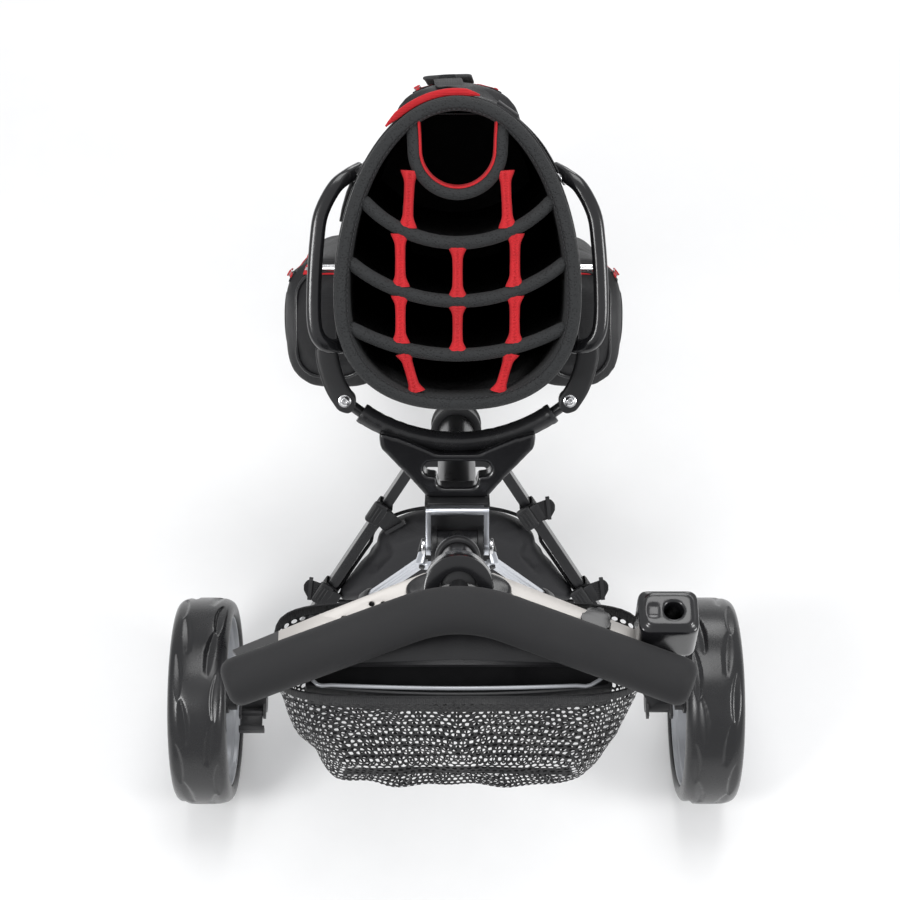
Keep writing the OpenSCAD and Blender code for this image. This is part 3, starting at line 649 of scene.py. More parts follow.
REAR_ROWS = ((-23.5, 0.0, 0.05), (-16.0, 0.5, 0.1), (23.5, 0.25, -0.05), (16.0, 0.75, -0.1))
FRONT_ROWS = ((-16.0, 0.0, 0.04), (16.0, 0.5, -0.04))
for side, out in (("left", -1), ("right", 1)):
    body = f"{side}_wheel"
    hub = (out * REAR_X, 0, REAR_R)
    tyre(f"tyre_{side}", f"rear_tyre_{side}", body, hub, REAR_R, REAR_W, REAR_TYRE_H, REAR_ROWS, 7)
    rim(f"rim_{side}", f"rear_rim_{side}", body, hub, REAR_R - REAR_TYRE_H, 31, out, -19, 24, 20)
    cap = [(24.2, 8.2), (24.2, 24), (26, 24), (30, 22), (32.2, 17), (32.2, 0.3), (29.5, 0.3), (29.5, 8.2)]
    cap = softened(cap, 1.2)
    make(f"hub_cap_dome_{side}", turned([(x * out, r) for x, r in cap], hub, 72), "gloss_black", body,
         replaces=[f"hub_cap_{side}"])
front_hub = (0, FRONT_Y, FRONT_R)
tyre("tyre_front", "front_tyre", "front_wheel", front_hub, FRONT_R, FRONT_W, FRONT_TYRE_H, FRONT_ROWS, 8)
rim("rim_front", "front_rim", "front_wheel", front_hub, FRONT_R - FRONT_TYRE_H, 21, 1, -30, 30, 16)

# ---------------------------------------------------------------- rigid parts, bevelled from the frame
BEVELLED = {
    "moulded_black": {"leg_hub": 1.6, "front_bracket": 2.5, "front_fork": 2.2, "lower_bracket": 2.5,
                      "hinge_block": 1.8, "axle_bracket_left": 1.4, "axle_bracket_right": 1.4,
                      "wheel_release_left": 0.9, "wheel_release_right": 0.9, "brake_pedal": 1.0,
                      "console_tray": 1.1},
    "tube_black": {"main_tube": 0.5, "cradle_bar": 0.8, "leg_left": 2.0, "leg_right": 2.0,
                   "handle_tube": 0.6, "handle_bar": 0.6},
    "gloss_black": {"handle_collar": 1.6, "accessory_knob": 1.0},
    "steel": {"front_axle": 1.0, "hinge_pin": 0.8, "leg_pins": 0.7, "rear_axle_left": 0.5,
              "rear_axle_right": 0.5},
    "silver_metal": {"latch_lever": 1.2},
}
for finish, widths in BEVELLED.items():
    for node, width in widths.items():
        refine(node, finish, width)
melted("y_bracket", "gloss_black", 1.6, 14)
melted("umbrella_holder", "gloss_black", 1.2, 16)

# ---------------------------------------------------------------- handle
def bent(corner_points, radius, steps=10):
    """A line through three points whose middle corner is rounded, starting radius before it."""
    a, b, c = (Vector(p) for p in corner_points)
    start, end = b + (a - b).normalized() * radius, b + (c - b).normalized() * radius
    shares = [k / steps for k in range(steps + 1)]
    arc = [start * (1 - t) ** 2 + b * (2 * t * (1 - t)) + end * t ** 2 for t in shares]
    return straight(a, start, 24)[:-1] + arc + straight(end, c, 24)[1:]


APEX = Vector((0, -306, 936))
BAR_END = Vector((176, -377, 931))
FOAM_R = 20.2


def grip():
    left_end = Vector((-BAR_END.x - 16, BAR_END.y - 6, BAR_END.z))
    right_end = Vector((BAR_END.x + 16, BAR_END.y - 6, BAR_END.z))
    path = dome_path(bent((left_end, APEX, right_end), 46), 12)
    sizes = rounded_ends(path, 12)
    sizes = [s ** 0.5 * (1 + 0.006 * noise.noise(p * 0.03)) for s, p in zip(sizes, path)]
    obj = make("foam_grip", sweep(path, circle(FOAM_R, 48), size=sizes), "grip_foam", "handle",
               replaces=["handle_grip"], hard=75)
    seam = [p + Vector((0, -0.5, -FOAM_R * 0.985)) for p in path[8:-8]]
    make("grip_seam", sweep(seam, flat(1.6, 1.0, 8)), "grip_foam", "handle")


def cut_copy(node, planes):
    """A bmesh copy of a CAD node, keeping what lies behind each plane's normal. Planes are
    (point, normal) in mm."""
    bm = bmesh.new()
    bm.from_mesh(frame["nodes"][node].data)
    bmesh.ops.remove_doubles(bm, verts=bm.verts, dist=2e-5)
    for point, normal in planes:
        geom = bm.verts[:] + bm.edges[:] + bm.faces[:]
        cut = bmesh.ops.bisect_plane(bm, geom=geom, plane_co=GROUND @ Vector(point), plane_no=Vector(normal),
                                     clear_outer=True)
        edges = [e for e in cut["geom_cut"] if isinstance(e, bmesh.types.BMEdge)]
        bmesh.ops.contextual_create(bm, geom=edges)
    return bm


def console():
    """The light panel beyond the V, the dark shell behind it, and the tray with its bright lip."""
    arm = (BAR_END - APEX).normalized()
    panel_half = 152
    cuts = {"console_panel": [], "console_shell": []}
    for side in (1, -1):
        across = Vector((-arm.y * side, arm.x, 0)).normalized()
        middle = ((0, 0, 0), (-side, 0, 0))
        beyond, within = (tuple(APEX), tuple(-across)), (tuple(APEX), tuple(across))
        cuts["console_panel"].append([middle, ((side * panel_half, 0, 0), (side, 0, 0)), beyond])
        cuts["console_shell"].append([middle, within])
        cuts["console_shell"].append([middle, beyond, ((side * panel_half, 0, 0), (-side, 0, 0))])
    for name, parts in cuts.items():
        whole = bmesh.new()
        for planes in parts:
            part = cut_copy("console_top", planes)
            mesh = bpy.data.meshes.new("cut")
            part.to_mesh(mesh)
            part.free()
            whole.from_mesh(mesh)
            bpy.data.meshes.remove(mesh)
        finish = "console_grey" if name == "console_panel" else "moulded_black"
        bevelled(whole, name, finish, "handle", "console_top", 0.9)

    mouth = [(-128, -356, 905.5)]
    mouth += [(x, -368 - 4 * math.cos(math.pi * x / 256), 905.2) for x in range(-118, 119, 12)]
    mouth += [(128, -356, 905.5)]
    make("tray_lip", rod(curve(mouth, 3), 1.7, n=12), "rim_grey", "handle")
    hood = []
    for k in range(13):
        x = lerp(-126, 126, k / 12)
        crown = 1 - (x / 126) ** 2
        front = -306 - 0.403 * abs(x)
        back = lerp(-347, -352, abs(x) / 126)
        heights = [909.2 + 7 * crown * math.sin(math.pi * (0.25 + i / 8 * 0.75)) for i in range(9)]
        hood.append([Vector((x, lerp(front, back, i / 8), z)) for i, z in enumerate(heights)])
    collar = [(45 * math.cos(a), -283 + 20 * math.sin(a)) for a in (TAU * k / 64 for k in range(64))]
    make("collar_flange", slab(collar, 909.1, 917, 3), "gloss_black", "handle")
    lower = [[p - Vector((0, 0, 2.4)) for p in reversed(row)] for row in hood]
    make("console_hood", loft([a + b for a, b in zip(hood, lower)]), "moulded_black", "handle", hard=50)


def net():
    """An open mesh bag with round holes, hung from a hem under the tray."""
    columns, rows = 96, 30
    table = []
    for level in range(41):
        v = level / 40
        half = lerp(158, 149, v / 0.45) if v < 0.45 else lerp(149, 110, (v - 0.45) / 0.55)
        rear, front = lerp(-383, -379, v), lerp(-289, -316, v)
        depth = (front - rear) / 2 * (1 - max(0, v - 0.86) / 0.14 * 0.86)
        mid = (front + rear) / 2
        ring = np.array([(half * spow(math.cos(a), 0.4), mid + depth * spow(math.sin(a), 0.45))
                         for a in (TAU * k / 240 for k in range(241))])
        steps = np.concatenate([[0], np.cumsum(np.linalg.norm(np.diff(ring, axis=0), axis=1))])
        even = np.linspace(0, 1, 241)
        table.append(np.stack([np.interp(even, steps / steps[-1], ring[:, i]) for i in (0, 1)], 1))

    def place(u, v):
        level = min(max(v, 0), 1) * 40
        low = min(39, int(level))
        at = (u % 1) * 240
        left = min(239, int(at))
        corner = [table[low + i][left + j] for i in (0, 1) for j in (0, 1)]
        fx, fy = at - left, level - low
        upper, lower = (corner[i] * (1 - fx) + corner[i + 1] * fx for i in (0, 2))
        x, y = upper * (1 - fy) + lower * fy
        slack = min(1, max(0, (v - 0.12) * 4))
        inward = Vector((-x / 150, (-335 - y) / 48, 0)).normalized()
        fold = (2.6 * math.sin(u * 38 + 2 * math.sin(v * 5)) + 2.2 * math.sin(u * 71 + 3.1 * v)
                + 4.5 * noise.noise(Vector((u * 14, v * 5, 3)))) * slack * (1 - 0.6 * v)
        point = Vector((x, y, 901 - 212 * v)) + inward * (2.5 + fold)
        point.z += 1.2 * math.sin(u * TAU * 2) * slack * v
        return point

    verts, faces, found = [], [], {}

    def vertex(u, v):
        key = (round(u % 1 * 1e5) % 100000, round(v * 1e5))
        if key not in found:
            found[key] = len(verts)
            verts.append(place(u, v))
        return found[key]

    for row in range(rows):
        for column in range(columns):
            cu, cv = (column + 0.5 * (row % 2)) / columns, (row + 0.5) / rows
            outer, inner = [], []
            for k in range(12):
                a = math.radians(30 * k)
                if k % 2:
                    du, dv = math.cos(a) / math.sqrt(3), math.sin(a) * 2 / 3
                else:
                    du, dv = 0.5 * math.cos(a), 0.5 * math.sin(a) * math.sqrt(3) * 2 / 3
                outer.append(vertex(cu + du / columns, cv + dv / rows))
                inner.append(vertex(cu + 0.35 * math.cos(a) / columns, cv + 0.35 * math.sin(a) * 1.1 / rows))
            faces += [(outer[k], outer[(k + 1) % 12], inner[(k + 1) % 12], inner[k]) for k in range(12)]
    obj = make("net_bag", (verts, faces), "net_mesh", "handle", replaces=["storage_net"], recalc=False)
    bm = bmesh.new()
    bm.from_mesh(obj.data)
    bmesh.ops.remove_doubles(bm, verts=bm.verts, dist=1e-5)
    bmesh.ops.recalc_face_normals(bm, faces=bm.faces)
    bm.to_mesh(obj.data)
    area = sum(f.calc_area() for f in bm.faces)
    bm.free()

    hem = [place(k / 96, 0.01) + Vector((0, 0, 2)) for k in range(96)]
    make("net_hem", sweep(hem, flat(2.2, 13, 16), (0, 0, 1), closed=True), "webbing", "handle")
    seam = [Vector((x, -349, 690 + 2 * math.cos(x / 30))) for x in range(-105, 106, 7)]
    make("net_seam", sweep(seam, flat(4.5, 8, 12)), "webbing", "handle")


def stem_details():
    low = Vector((0, -87.5, 653.1))
    top = Vector((0, -283, 914))
    way = (top - low).normalized()
    ring = [(0, 16.1), (0, 20), (3, 22), (14, 22), (17, 20), (17, 16.1)]
    turn = way.to_track_quat("Z", "Y").to_matrix().to_4x4()
    shapes = []
    for start in (95, 250):
        verts, faces = turned(softened(ring, 1), (0, 0, 0), 48, axis="Z")
        place = Matrix.Translation(low + way * start) @ turn
        shapes.append(([tuple(place @ Vector(v)) for v in verts], faces))
    make("stem_rings", joined(*shapes), "moulded_black", "handle")


grip()
console()
net()
stem_details()


# ---------------------------------------------------------------- struts, leg straps and pouch
FOLD = math.radians(26)
STRUT_A = Vector((34.5, 44, 24))
STRUT_LUG_REACH, STRUT_LUG_Z = 286.7, 361  # the stud on the leg, from the leg's hinge


def strut_lug(angle):
    """The stud's place when the right leg stands at angle."""
    return Vector((LEG_HINGE.x + STRUT_LUG_REACH * math.sin(angle),
                   LEG_HINGE.y + STRUT_LUG_REACH * math.cos(angle), STRUT_LUG_Z))


STRUT_B = strut_lug(LEG_ANGLE)


def struts(side, out):
    a, b = (Vector((p.x * out, p.y, p.z)) for p in (STRUT_A, STRUT_B))
    way = (b - a).normalized()
    mid, ring_end = a.lerp(b, 0.35), a.lerp(b, 0.4)
    tip = b - way * 14
    body = f"{side}_strut"
    axis = (STRUT_B - STRUT_A).cross(strut_lug(LEG_ANGLE - FOLD) - STRUT_A).normalized()
    axis.x *= out
    verts, faces = turned(softened([(-7, 3.1), (-7, 8), (7, 8), (7, 3.1)], 0.9), (0, 0, 0), 40, axis="Z")
    turn = axis.to_track_quat("Z", "Y").to_matrix()
    boss = ([tuple(a + turn @ Vector(v)) for v in verts], faces)
    upper = sweep(straight(a + way * 7, mid, 6), fluted(6, 0.7, 9), (0, 0, 1))
    lower = sweep(straight(ring_end, tip, 10), fluted(4.2, 0.5, 7), (0, 0, 1))
    make(f"strut_rods_{side}", joined(boss, upper, lower), "silver_metal", body, TUBE,
         replaces=[f"strut_{side}"], hard=30)
    collar = [mid - way * 3, mid, mid + way * 2, mid.lerp(ring_end, 0.5), ring_end - way * 2, ring_end,
              ring_end + way * 4]
    grip_ring = sweep(collar, circle(1, 28), (0, 0, 1), size=[7.4, 8.6, 9.2, 9.4, 9.2, 8.2, 6])
    eye = turned(softened([(-4, 10), (-4, 16), (4, 16), (4, 10)], 1.4), tuple(b), 48, axis="Z")
    make(f"strut_fittings_{side}", joined(grip_ring, eye), "moulded_black", body, TUBE)


def leg_strap(along, tail_out):
    """A webbing loop round a leg with the loose end of the strap, and the shapes of its buckle."""
    outline = rounded_rect(-8.6, -15.6, 8.6, 15.6, 4, 4)
    path = [Vector((x, along, z)) for x, z in outline]
    centre = Vector((0, along, 0))
    loop = sweep(path, flat(25, 2.0), [(p - centre).normalized() for p in path], closed=True)
    slant = 1 if tail_out else -1
    tail = curve([(slant * 6, along, -18), (slant * 13, along + 1, -21), (slant * 21, along + 3, -20),
                  (slant * 28, along + 7, -14)], 5)
    sizes = [(min(1, (len(tail) - i) / 5 + 0.12), 1) for i in range(len(tail))]
    strap = sweep(tail, flat(24, 1.8), (0, 0, -1), size=sizes)
    keeper = sweep([(slant * 20, along + 1, -21), (slant * 24, along + 3, -20.6)], flat(29, 6))
    base = slab(rounded_rect(-15, along - 14, 3, along + 14, 4), -23.5, -16.6, 1.6)
    nose = slab(rounded_rect(2, along - 11, 15, along + 11, 3), -22, -17.4, 1.4)
    ridge = [slab(rounded_rect(-12 + 4 * k, along - 10, -10 + 4 * k, along + 10, 0.9), -24.6, -22, 0.5)
             for k in range(3)]
    return [loop, strap], [base, nose, keeper, *ridge]


for side, out in (("left", -1), ("right", 1)):
    struts(side, out)
    webbing, buckles = [], []
    for y in (104, 206):
        strap, buckle = leg_strap((y - LEG_HINGE.y) / math.cos(LEG_ANGLE), out > 0 or y < 150)
        webbing += strap
        buckles += buckle
    body = f"{side}_leg"
    make(f"leg_straps_{side}", joined(*webbing), "webbing", body, leg_frame(out),
         replaces=[f"pouch_straps_{side}"])
    make(f"leg_buckles_{side}", joined(*buckles), "moulded_black", body, leg_frame(out))


def pouch():
    """The grey pouch between the legs."""
    top, low, dome = 99.0, 220.0, 44.0
    slope = LEG_REACH / LEG_RUN

    def half(y):
        return LEG_HINGE.x + (y - LEG_HINGE.y) * slope - 15

    right = [(half(top + dome) * math.cos(a) ** 0.8, top + dome - dome * math.sin(a))
             for a in (math.radians(10 * k) for k in range(9, 0, -1))]
    right += [(half(y), y) for y in np.linspace(top + dome, low - 10, 7)] + [(half(low - 4) - 8, low)]
    outline = right + [(-x, y) for x, y in reversed(right)]
    obj = make("pouch_bag", slab(outline, 368, 412, 14), "nylon_grey", "frame", TUBE, replaces=["leg_pouch"])
    inflate(obj, voxel=6, pressure=4, cap=7)
    smooth_over(obj)
    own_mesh(obj)
    piping = [Vector((x * 1.02, y, 390)) for x, y in outline]
    edge = make("pouch_piping", sweep(curve(piping, 2, closed=True), circle(2.2, 10), (0, 0, 1), closed=True),
                "webbing", "frame", TUBE)
    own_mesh(edge)


pouch()

# ---------------------------------------------------------------- golf bag
MOUTH_A, MOUTH_W0, MOUTH_UP, MOUTH_DN = 120.0, -40.0, 196.0, 109.0


def egg(t, d=0.0, z=0.0):
    """A point of the bag's section at angle t, grown outwards by d."""
    c, s = math.cos(t), math.sin(t)
    if s >= 0:
        return Vector(((MOUTH_A + d) * c, MOUTH_W0 + (MOUTH_UP + d) * s, z))
    return Vector(((MOUTH_A + d) * spow(c, 0.83), MOUTH_W0 + (MOUTH_DN + d) * spow(s, 0.83), z))


def egg_half(w):
    if w > MOUTH_W0:
        return MOUTH_A * math.sqrt(1 - ((w - MOUTH_W0) / MOUTH_UP) ** 2)
    return MOUTH_A * (1 - ((MOUTH_W0 - w) / MOUTH_DN) ** 2.4) ** (1 / 2.4)


def outside_bag(p, d):
    """p pushed out to the bag's section grown by d, if it lies inside that."""
    a, up = MOUTH_A + d, (MOUTH_UP if p.y > MOUTH_W0 else MOUTH_DN) + d
    power = 2 if p.y > MOUTH_W0 else 2.4
    r = (abs(p.x / a) ** power + abs((p.y - MOUTH_W0) / up) ** power) ** (1 / power)
    return p if r >= 1 or r < 1e-6 else Vector((p.x / r, MOUTH_W0 + (p.y - MOUTH_W0) / r, p.z))


def around(profile, n=144, change=None):
    """A closed profile of (d, z) carried round the bag's section. change moves d by angle and z."""
    verts = []
    for i in range(n):
        t = TAU * i / n
        for d, z in profile:
            verts.append(egg(t, d + (change(t, z, d) if change else 0), z))
    return verts, band(n, len(profile), wrap_rows=True)


def egg_path(d, z, start=0, stop=360, step=3):
    return [egg(math.radians(t), d, z) for t in range(start, stop + 1, step)]


def outwards(path):
    return [(Vector((p.x, p.y - MOUTH_W0 - 20, 0))).normalized() for p in path]


def cuff():
    rim = [(0, -30), (0.6, -5), (-4, 0.8), (-11, 0.2), (-14, -8), (-14, -46), (-11.5, -46), (-6, -30)]
    rim = softened(rim, 3, 4)
    pad = make("cuff_rim", around(rim, 180), "spacer_mesh", "frame", BAG, replaces=["bag_cuff"], hard=60)

    def ribs(t, z, d):
        fade = min(1, (-z - 31) / 10, (z + CUFF_L) / 8)
        return (1.5 * abs(math.sin(36 * t)) ** 0.6 - 1.2) * max(0, fade) if d > -6 else 0

    rows = [(-1.0, z) for z in np.linspace(-31, -104.5, 16)]
    rows += [(-13.5, z) for z in np.linspace(-104.5, -47, 6)]
    wall = make("cuff_wall", around(rows, 432, ribs), "nylon_black", "frame", BAG, hard=60)
    closed = [egg_path(d, z, 0, 357) for d, z in ((0.8, -31.5), (-1.5, -103.5))]
    cords = [sweep(p, circle(2.0, 10), (0, 0, 1), closed=True) for p in closed]
    make("cuff_piping", joined(*cords), "sleeve_rubber", "frame", BAG)
    inner = egg_path(-12.2, -0.6, 0, 357)
    make("cuff_stitching", stitches(inner, (0, 0, 1), 5.0, 2.6, 0.5, closed=True), "nylon_grey", "frame", BAG)
    top = [egg(math.radians(t), lerp(3.6, 5.2, (t - 80) / 44), -22) for t in range(80, 125, 2)]
    ends = [min(1, (k + 1) / 4, (len(top) - k) / 4) for k in range(len(top))]
    make("cuff_red_band", sweep(top, flat(7.5, 7), (0, 0, 1), size=ends), "red_trim", "frame", BAG)


def stitches(path, up, pitch, length, r, closed=False):
    """Short threads laid along a path, one every pitch millimetres."""
    pts = [Vector(p) for p in path] + ([Vector(path[0])] if closed else [])
    shapes, carried = [], 0.0
    for a, b in zip(pts, pts[1:]):
        span = (b - a).length
        way = (b - a) / span
        while carried < span:
            start = a + way * carried
            shapes.append(sweep([start, start + way * length], circle(r, 6), up))
            carried += pitch
        carried -= span
    return joined(*shapes)


def body_shell():
    def sag(t, z, d):
        drape = 1.6 * noise.noise(Vector((3 * math.cos(t), 3 * math.sin(t), z / 120)))
        folds = 0.9 * math.sin(z / 21 + 3 * math.sin(2 * t)) * noise.noise(Vector((2 * t, z / 60, 5)))
        edge = min(1, (-z - CUFF_L) / 40, (z + BAG_L - 50) / 40)
        return (drape + folds - 0.8) * max(0, edge)

    rows = [(-5.2, z) for z in np.linspace(-104, -849, 60)] + [(-8.8, z) for z in np.linspace(-849, -104, 60)]
    make("bag_shell", around(rows, 120, sag), "nylon_black", "frame", BAG, replaces=["bag_body"], hard=60)
    seams = []
    for degrees in (38, 142, 222, 318):
        t = math.radians(degrees)
        line = [egg(t, -4.6, z) for z in np.linspace(-106, -802, 24)]
        seams.append(sweep(line, circle(2.2, 10), (1, 0, 0)))
    make("bag_seams", joined(*seams), "sleeve_rubber", "frame", BAG)
    bands = []
    for z in (-468, -640):
        path = egg_path(-3.9, z, 0, 357)
        bands.append(sweep(path, [(y, x) for x, y in flat(1.8, 24)], outwards(path), closed=True))
    make("bag_bands", joined(*bands), "webbing", "frame", BAG)

    def grooves(t, z, d):
        return -0.9 if d > 1 and int((-z - 800) / 9) % 2 and -z < 845 else 0

    base = [(1.5, z) for z in np.linspace(-800, -848, 17)] + [(0.4, -854), (-3.5, -859), (-14, -860)]
    rings = []
    for d, z in base:
        rings.append([egg(TAU * i / 144, d + grooves(0, z, d), z) for i in range(144)])
    inner = [[egg(TAU * i / 144, -5, z) for i in range(144)] for z in (-850, -800)]
    make("bag_foot", loft([inner[1]] + rings), "moulded_black", "frame", BAG, replaces=["bag_base"], hard=50)


BARS = ((57, 15), (-3, -42), (-67, -95))
BAR_Z, BAR_R = -9.5, 6.6


def bar_arc(bar):
    chord, rise = egg_half(bar[0]) - 12, bar[0] - bar[1]
    return chord, (chord ** 2 + rise ** 2) / (2 * rise)


def bar_w(bar, x):
    radius = bar_arc(bar)[1]
    return bar[1] + radius - math.sqrt(radius ** 2 - x * x)


def cloth_wall(name, top, depth, billow):
    """A divider cloth hanging down the bag from a line of points."""
    rows = 14
    verts = []
    sway = 1 if abs(top[0].y - top[-1].y) < 60 else 0.6
    for r in range(rows + 1):
        for k, p in enumerate(top):
            v = r / rows
            belly = billow * math.sin(math.pi * k / (len(top) - 1)) * math.sin(math.pi * min(1, v * 1.1))
            offset = Vector((belly * noise.noise(Vector((k * 0.2, r * 0.3, billow))), belly * 0.4, 0))
            verts.append(p + offset * sway + Vector((0, 0, -depth * v)))
    obj = make(name, (verts, band(rows + 1, len(top), wrap_cols=False)), "nylon_black", "frame", BAG)


def bridge(a, b):
    """A red stitched bridge: a padded bar that flares where it meets what it ties."""
    a, b = Vector(a), Vector(b)
    way = (b - a).normalized()
    side = Vector((way.y, -way.x, 0))
    rings = []
    for k in range(19):
        s = k / 18
        flare = abs(2 * s - 1)
        wide = 4.9 + 1.0 * flare ** 2 + 4.2 * max(0, (flare - 0.55) / 0.45) ** 1.6
        wide *= 0.93 if k in (0, 18) else 1
        thick = 4.6 + 0.9 * flare
        p = a.lerp(b, s) + Vector((0, 0, -1.2 * (1 - flare)))
        ring = []
        for i in range(20):
            angle = TAU * i / 20
            c, z = math.cos(angle), math.sin(angle)
            groove = 0.9 * math.exp(-(c * 4.5) ** 2) if z > 0 else 0
            ring.append(p + side * (wide * spow(c, 0.85)) + Vector((0, 0, (thick - groove) * spow(z, 0.8))))
        rings.append(ring)
    thread = []
    length = (b - a).length
    count = max(3, int(length / 3.2))
    for k in range(1, count):
        s = k / count
        p = a.lerp(b, s) + Vector((0, 0, 4.2 + 0.9 * abs(2 * s - 1) - 1.2 * (1 - abs(2 * s - 1))))
        thread.append(sweep([p - side * 1.6 - way * 0.8, p + side * 1.6 + way * 0.8], circle(0.5, 6)))
    return loft(rings), thread


def mouth():
    """The foam divider bars, red bridges, putter well and the cloth under them."""
    bars = []
    for bar in BARS:
        chord = bar_arc(bar)[0]
        path = [Vector((x, bar_w(bar, x), BAR_Z)) for x in np.linspace(-chord - 2, chord + 2, 41)]
        line = dome_path(path, BAR_R)
        puff = [s * (1 + 0.02 * noise.noise(p * 0.05)) for s, p in zip(rounded_ends(line, BAR_R), line)]
        bars.append(sweep(line, circle(BAR_R, 24), (0, 0, 1), size=puff))
    obj = make("divider_foam", joined(*bars), "spacer_mesh", "frame", BAG, replaces=["divider_bars"], hard=70)
    reach = BAR_R - 2.2
    lines = []
    for out in (1, -1):
        lines += [((46 * out, 85, BAR_Z), (49 * out, bar_w(BARS[0], 49) + reach, BAR_Z))]
        for upper, lower in zip(BARS, BARS[1:]):
            ends = bar_w(upper, 56) - reach, bar_w(lower, 56) + reach
            lines += [tuple((56 * out, w, BAR_Z) for w in ends)]
        foot = (41 * out, MOUTH_W0 - MOUTH_DN + 17, BAR_Z)
        lines += [((52 * out, bar_w(BARS[2], 52) - reach, BAR_Z), foot)]
    lines += [((0, BARS[i][1] - reach, BAR_Z), (0, BARS[i + 1][1] + reach, BAR_Z)) for i in (0, 1)]
    made = [bridge(a, b) for a, b in lines]
    obj = make("bridge_pads", joined(*[shape for shape, _ in made]), "red_trim", "frame", BAG,
               replaces=["divider_bridges"], hard=70)
    make("bridge_stitches", joined(*[s for _, thread in made for s in thread]), "red_trim", "frame", BAG)

    well = [Vector((43.5, 132, BAR_Z)), Vector((42.5, 118, BAR_Z))]
    well += [Vector((42 * math.cos(a), 105 + 42 * math.sin(a), BAR_Z)) for a in np.linspace(0, -math.pi, 33)]
    well += [Vector((-42.5, 118, BAR_Z)), Vector((-43.5, 132, BAR_Z))]
    line = dome_path(well, BAR_R)
    roll = sweep(line, circle(BAR_R, 24), (0, 0, 1), size=rounded_ends(line, BAR_R))
    obj = make("well_roll", roll, "spacer_mesh", "frame", BAG, replaces=["putter_well"], hard=70)
    lining, inward = [], []
    for p in well:
        inner = Vector((p.x * 0.865, 105 + (p.y - 105) * (0.865 if p.y < 105 else 1), BAR_Z - 12))
        on_arc = inner.y < 105
        lining.append(inner)
        inward.append(Vector((-inner.x, 105 - inner.y, 0)).normalized() if on_arc
                      else Vector((-math.copysign(1, inner.x), 0, 0)))
    make("well_lining", sweep(lining, [(x, y) for x, y in flat(36, 3.0)], inward), "red_trim", "frame", BAG)

    for number, bar in enumerate(BARS):
        chord = bar_arc(bar)[0] + 1
        top = [Vector((x, bar_w(bar, x), BAR_Z - 4)) for x in np.linspace(-chord, chord, 25)]
        cloth_wall(f"divider_cloth_{number + 1}", top, 480, 5)
    for name, x, high, low in (("left", -54, 84, -120), ("right", 54, 84, -120), ("middle", 0, 13, -92)):
        top = [Vector((x * (0.86 if w > 60 or w < -100 else 1), w, BAR_Z - 8))
               for w in np.linspace(high, low, 19)]
        cloth_wall(f"divider_cloth_{name}", top, 470, 4)


def handles():
    """The two glossy lift handles with their pads on the cuff."""
    line = curve([(97, 84, -58), (108, 78, -42), (121, 67, -34), (134, 42, -31), (138.5, 14, -30),
                  (141.5, -26, -30), (142, -62, -30), (138, -80, -31), (128, -89, -35), (113, -91, -48),
                  (106, -92, -58)], 6)
    section = [(7.4 * spow(math.cos(a), 0.75), 6.4 * spow(math.sin(a), 0.75))
               for a in (TAU * k / 24 for k in range(24))]
    loop = sweep(line, section, (0, 0, 1))
    pads = []
    for t, z in ((math.radians(39), -62), (math.radians(327), -62)):
        p, n = egg(t, 1.6, z), (egg(t, 2, z) - egg(t, 0, z)).normalized()
        across = n.cross(Vector((0, 0, 1)))
        outline = rounded_rect(-15, -20, 15, 20, 7)
        rings = [[p + across * (x * k) + Vector((0, 0, y * k)) + n * lift for x, y in outline]
                 for k, lift in ((0.99, -2), (1, 0.4), (0.95, 2.2), (0.82, 3.2))]
        pads.append(loft(rings))
    make("carry_loops", both(joined(loop, *pads)), "gloss_black", "frame", BAG, replaces=["lift_handles"],
         hard=50)


def zip_run(path, ups, tape=13.0):
    """A zip along a path: its tape, its ridged coil, and its slider and pull at the first point."""
    band_shape = sweep(path, flat(tape, 1.6), ups)
    raised = [Vector(p) + Vector(u) * 1.1 for p, u in zip(path, ups)]
    dense, dense_ups = [], []
    for (a, b), (ua, ub) in zip(zip(raised, raised[1:]), zip(ups, ups[1:])):
        steps = max(1, int((b - a).length / 1.6))
        dense += [a.lerp(b, k / steps) for k in range(steps)]
        dense_ups += [Vector(ua).lerp(Vector(ub), k / steps) for k in range(steps)]
    teeth = [(1, 1) if k % 2 else (0.82, 0.6) for k in range(len(dense))]
    coil = sweep(dense, flat(4.4, 2.2, 10), dense_ups, size=teeth)
    start, up = Vector(path[1]), Vector(ups[1])
    way = (Vector(path[2]) - start).normalized()
    slider = sweep([start + up * 2.4, start + way * 4 + up * 3, start + way * 10 + up * 2.6], flat(8, 4, 12),
                   [up] * 3, size=[(0.7, 0.7), (1, 1), (0.8, 0.8)])
    tab_from = start + up * 4.2
    pull = sweep([tab_from, tab_from + way * 8, tab_from + way * 24], flat(7, 2, 12), [up] * 3)
    return band_shape, coil, slider, pull


def snapped(points, target, push, lift):
    """Points moved along push onto the surface of target, in the bag's frame, with the normals there."""
    back = BAG.inverted()
    mesh = target.data
    verts = [back @ v.co for v in mesh.vertices]
    tree = BVHTree.FromPolygons(verts, [tuple(p.vertices) for p in mesh.polygons])
    found, normals = [], []
    for p in points:
        ray = Vector(push(Vector(p)) if callable(push) else push).normalized()
        hit, normal, _, _ = tree.ray_cast(Vector(p) - ray * 120, ray)
        if hit is None:
            continue
        normal = -normal if normal.dot(ray) > 0 else normal
        found.append(hit + normal * lift)
        normals.append(normal)
    return found, normals


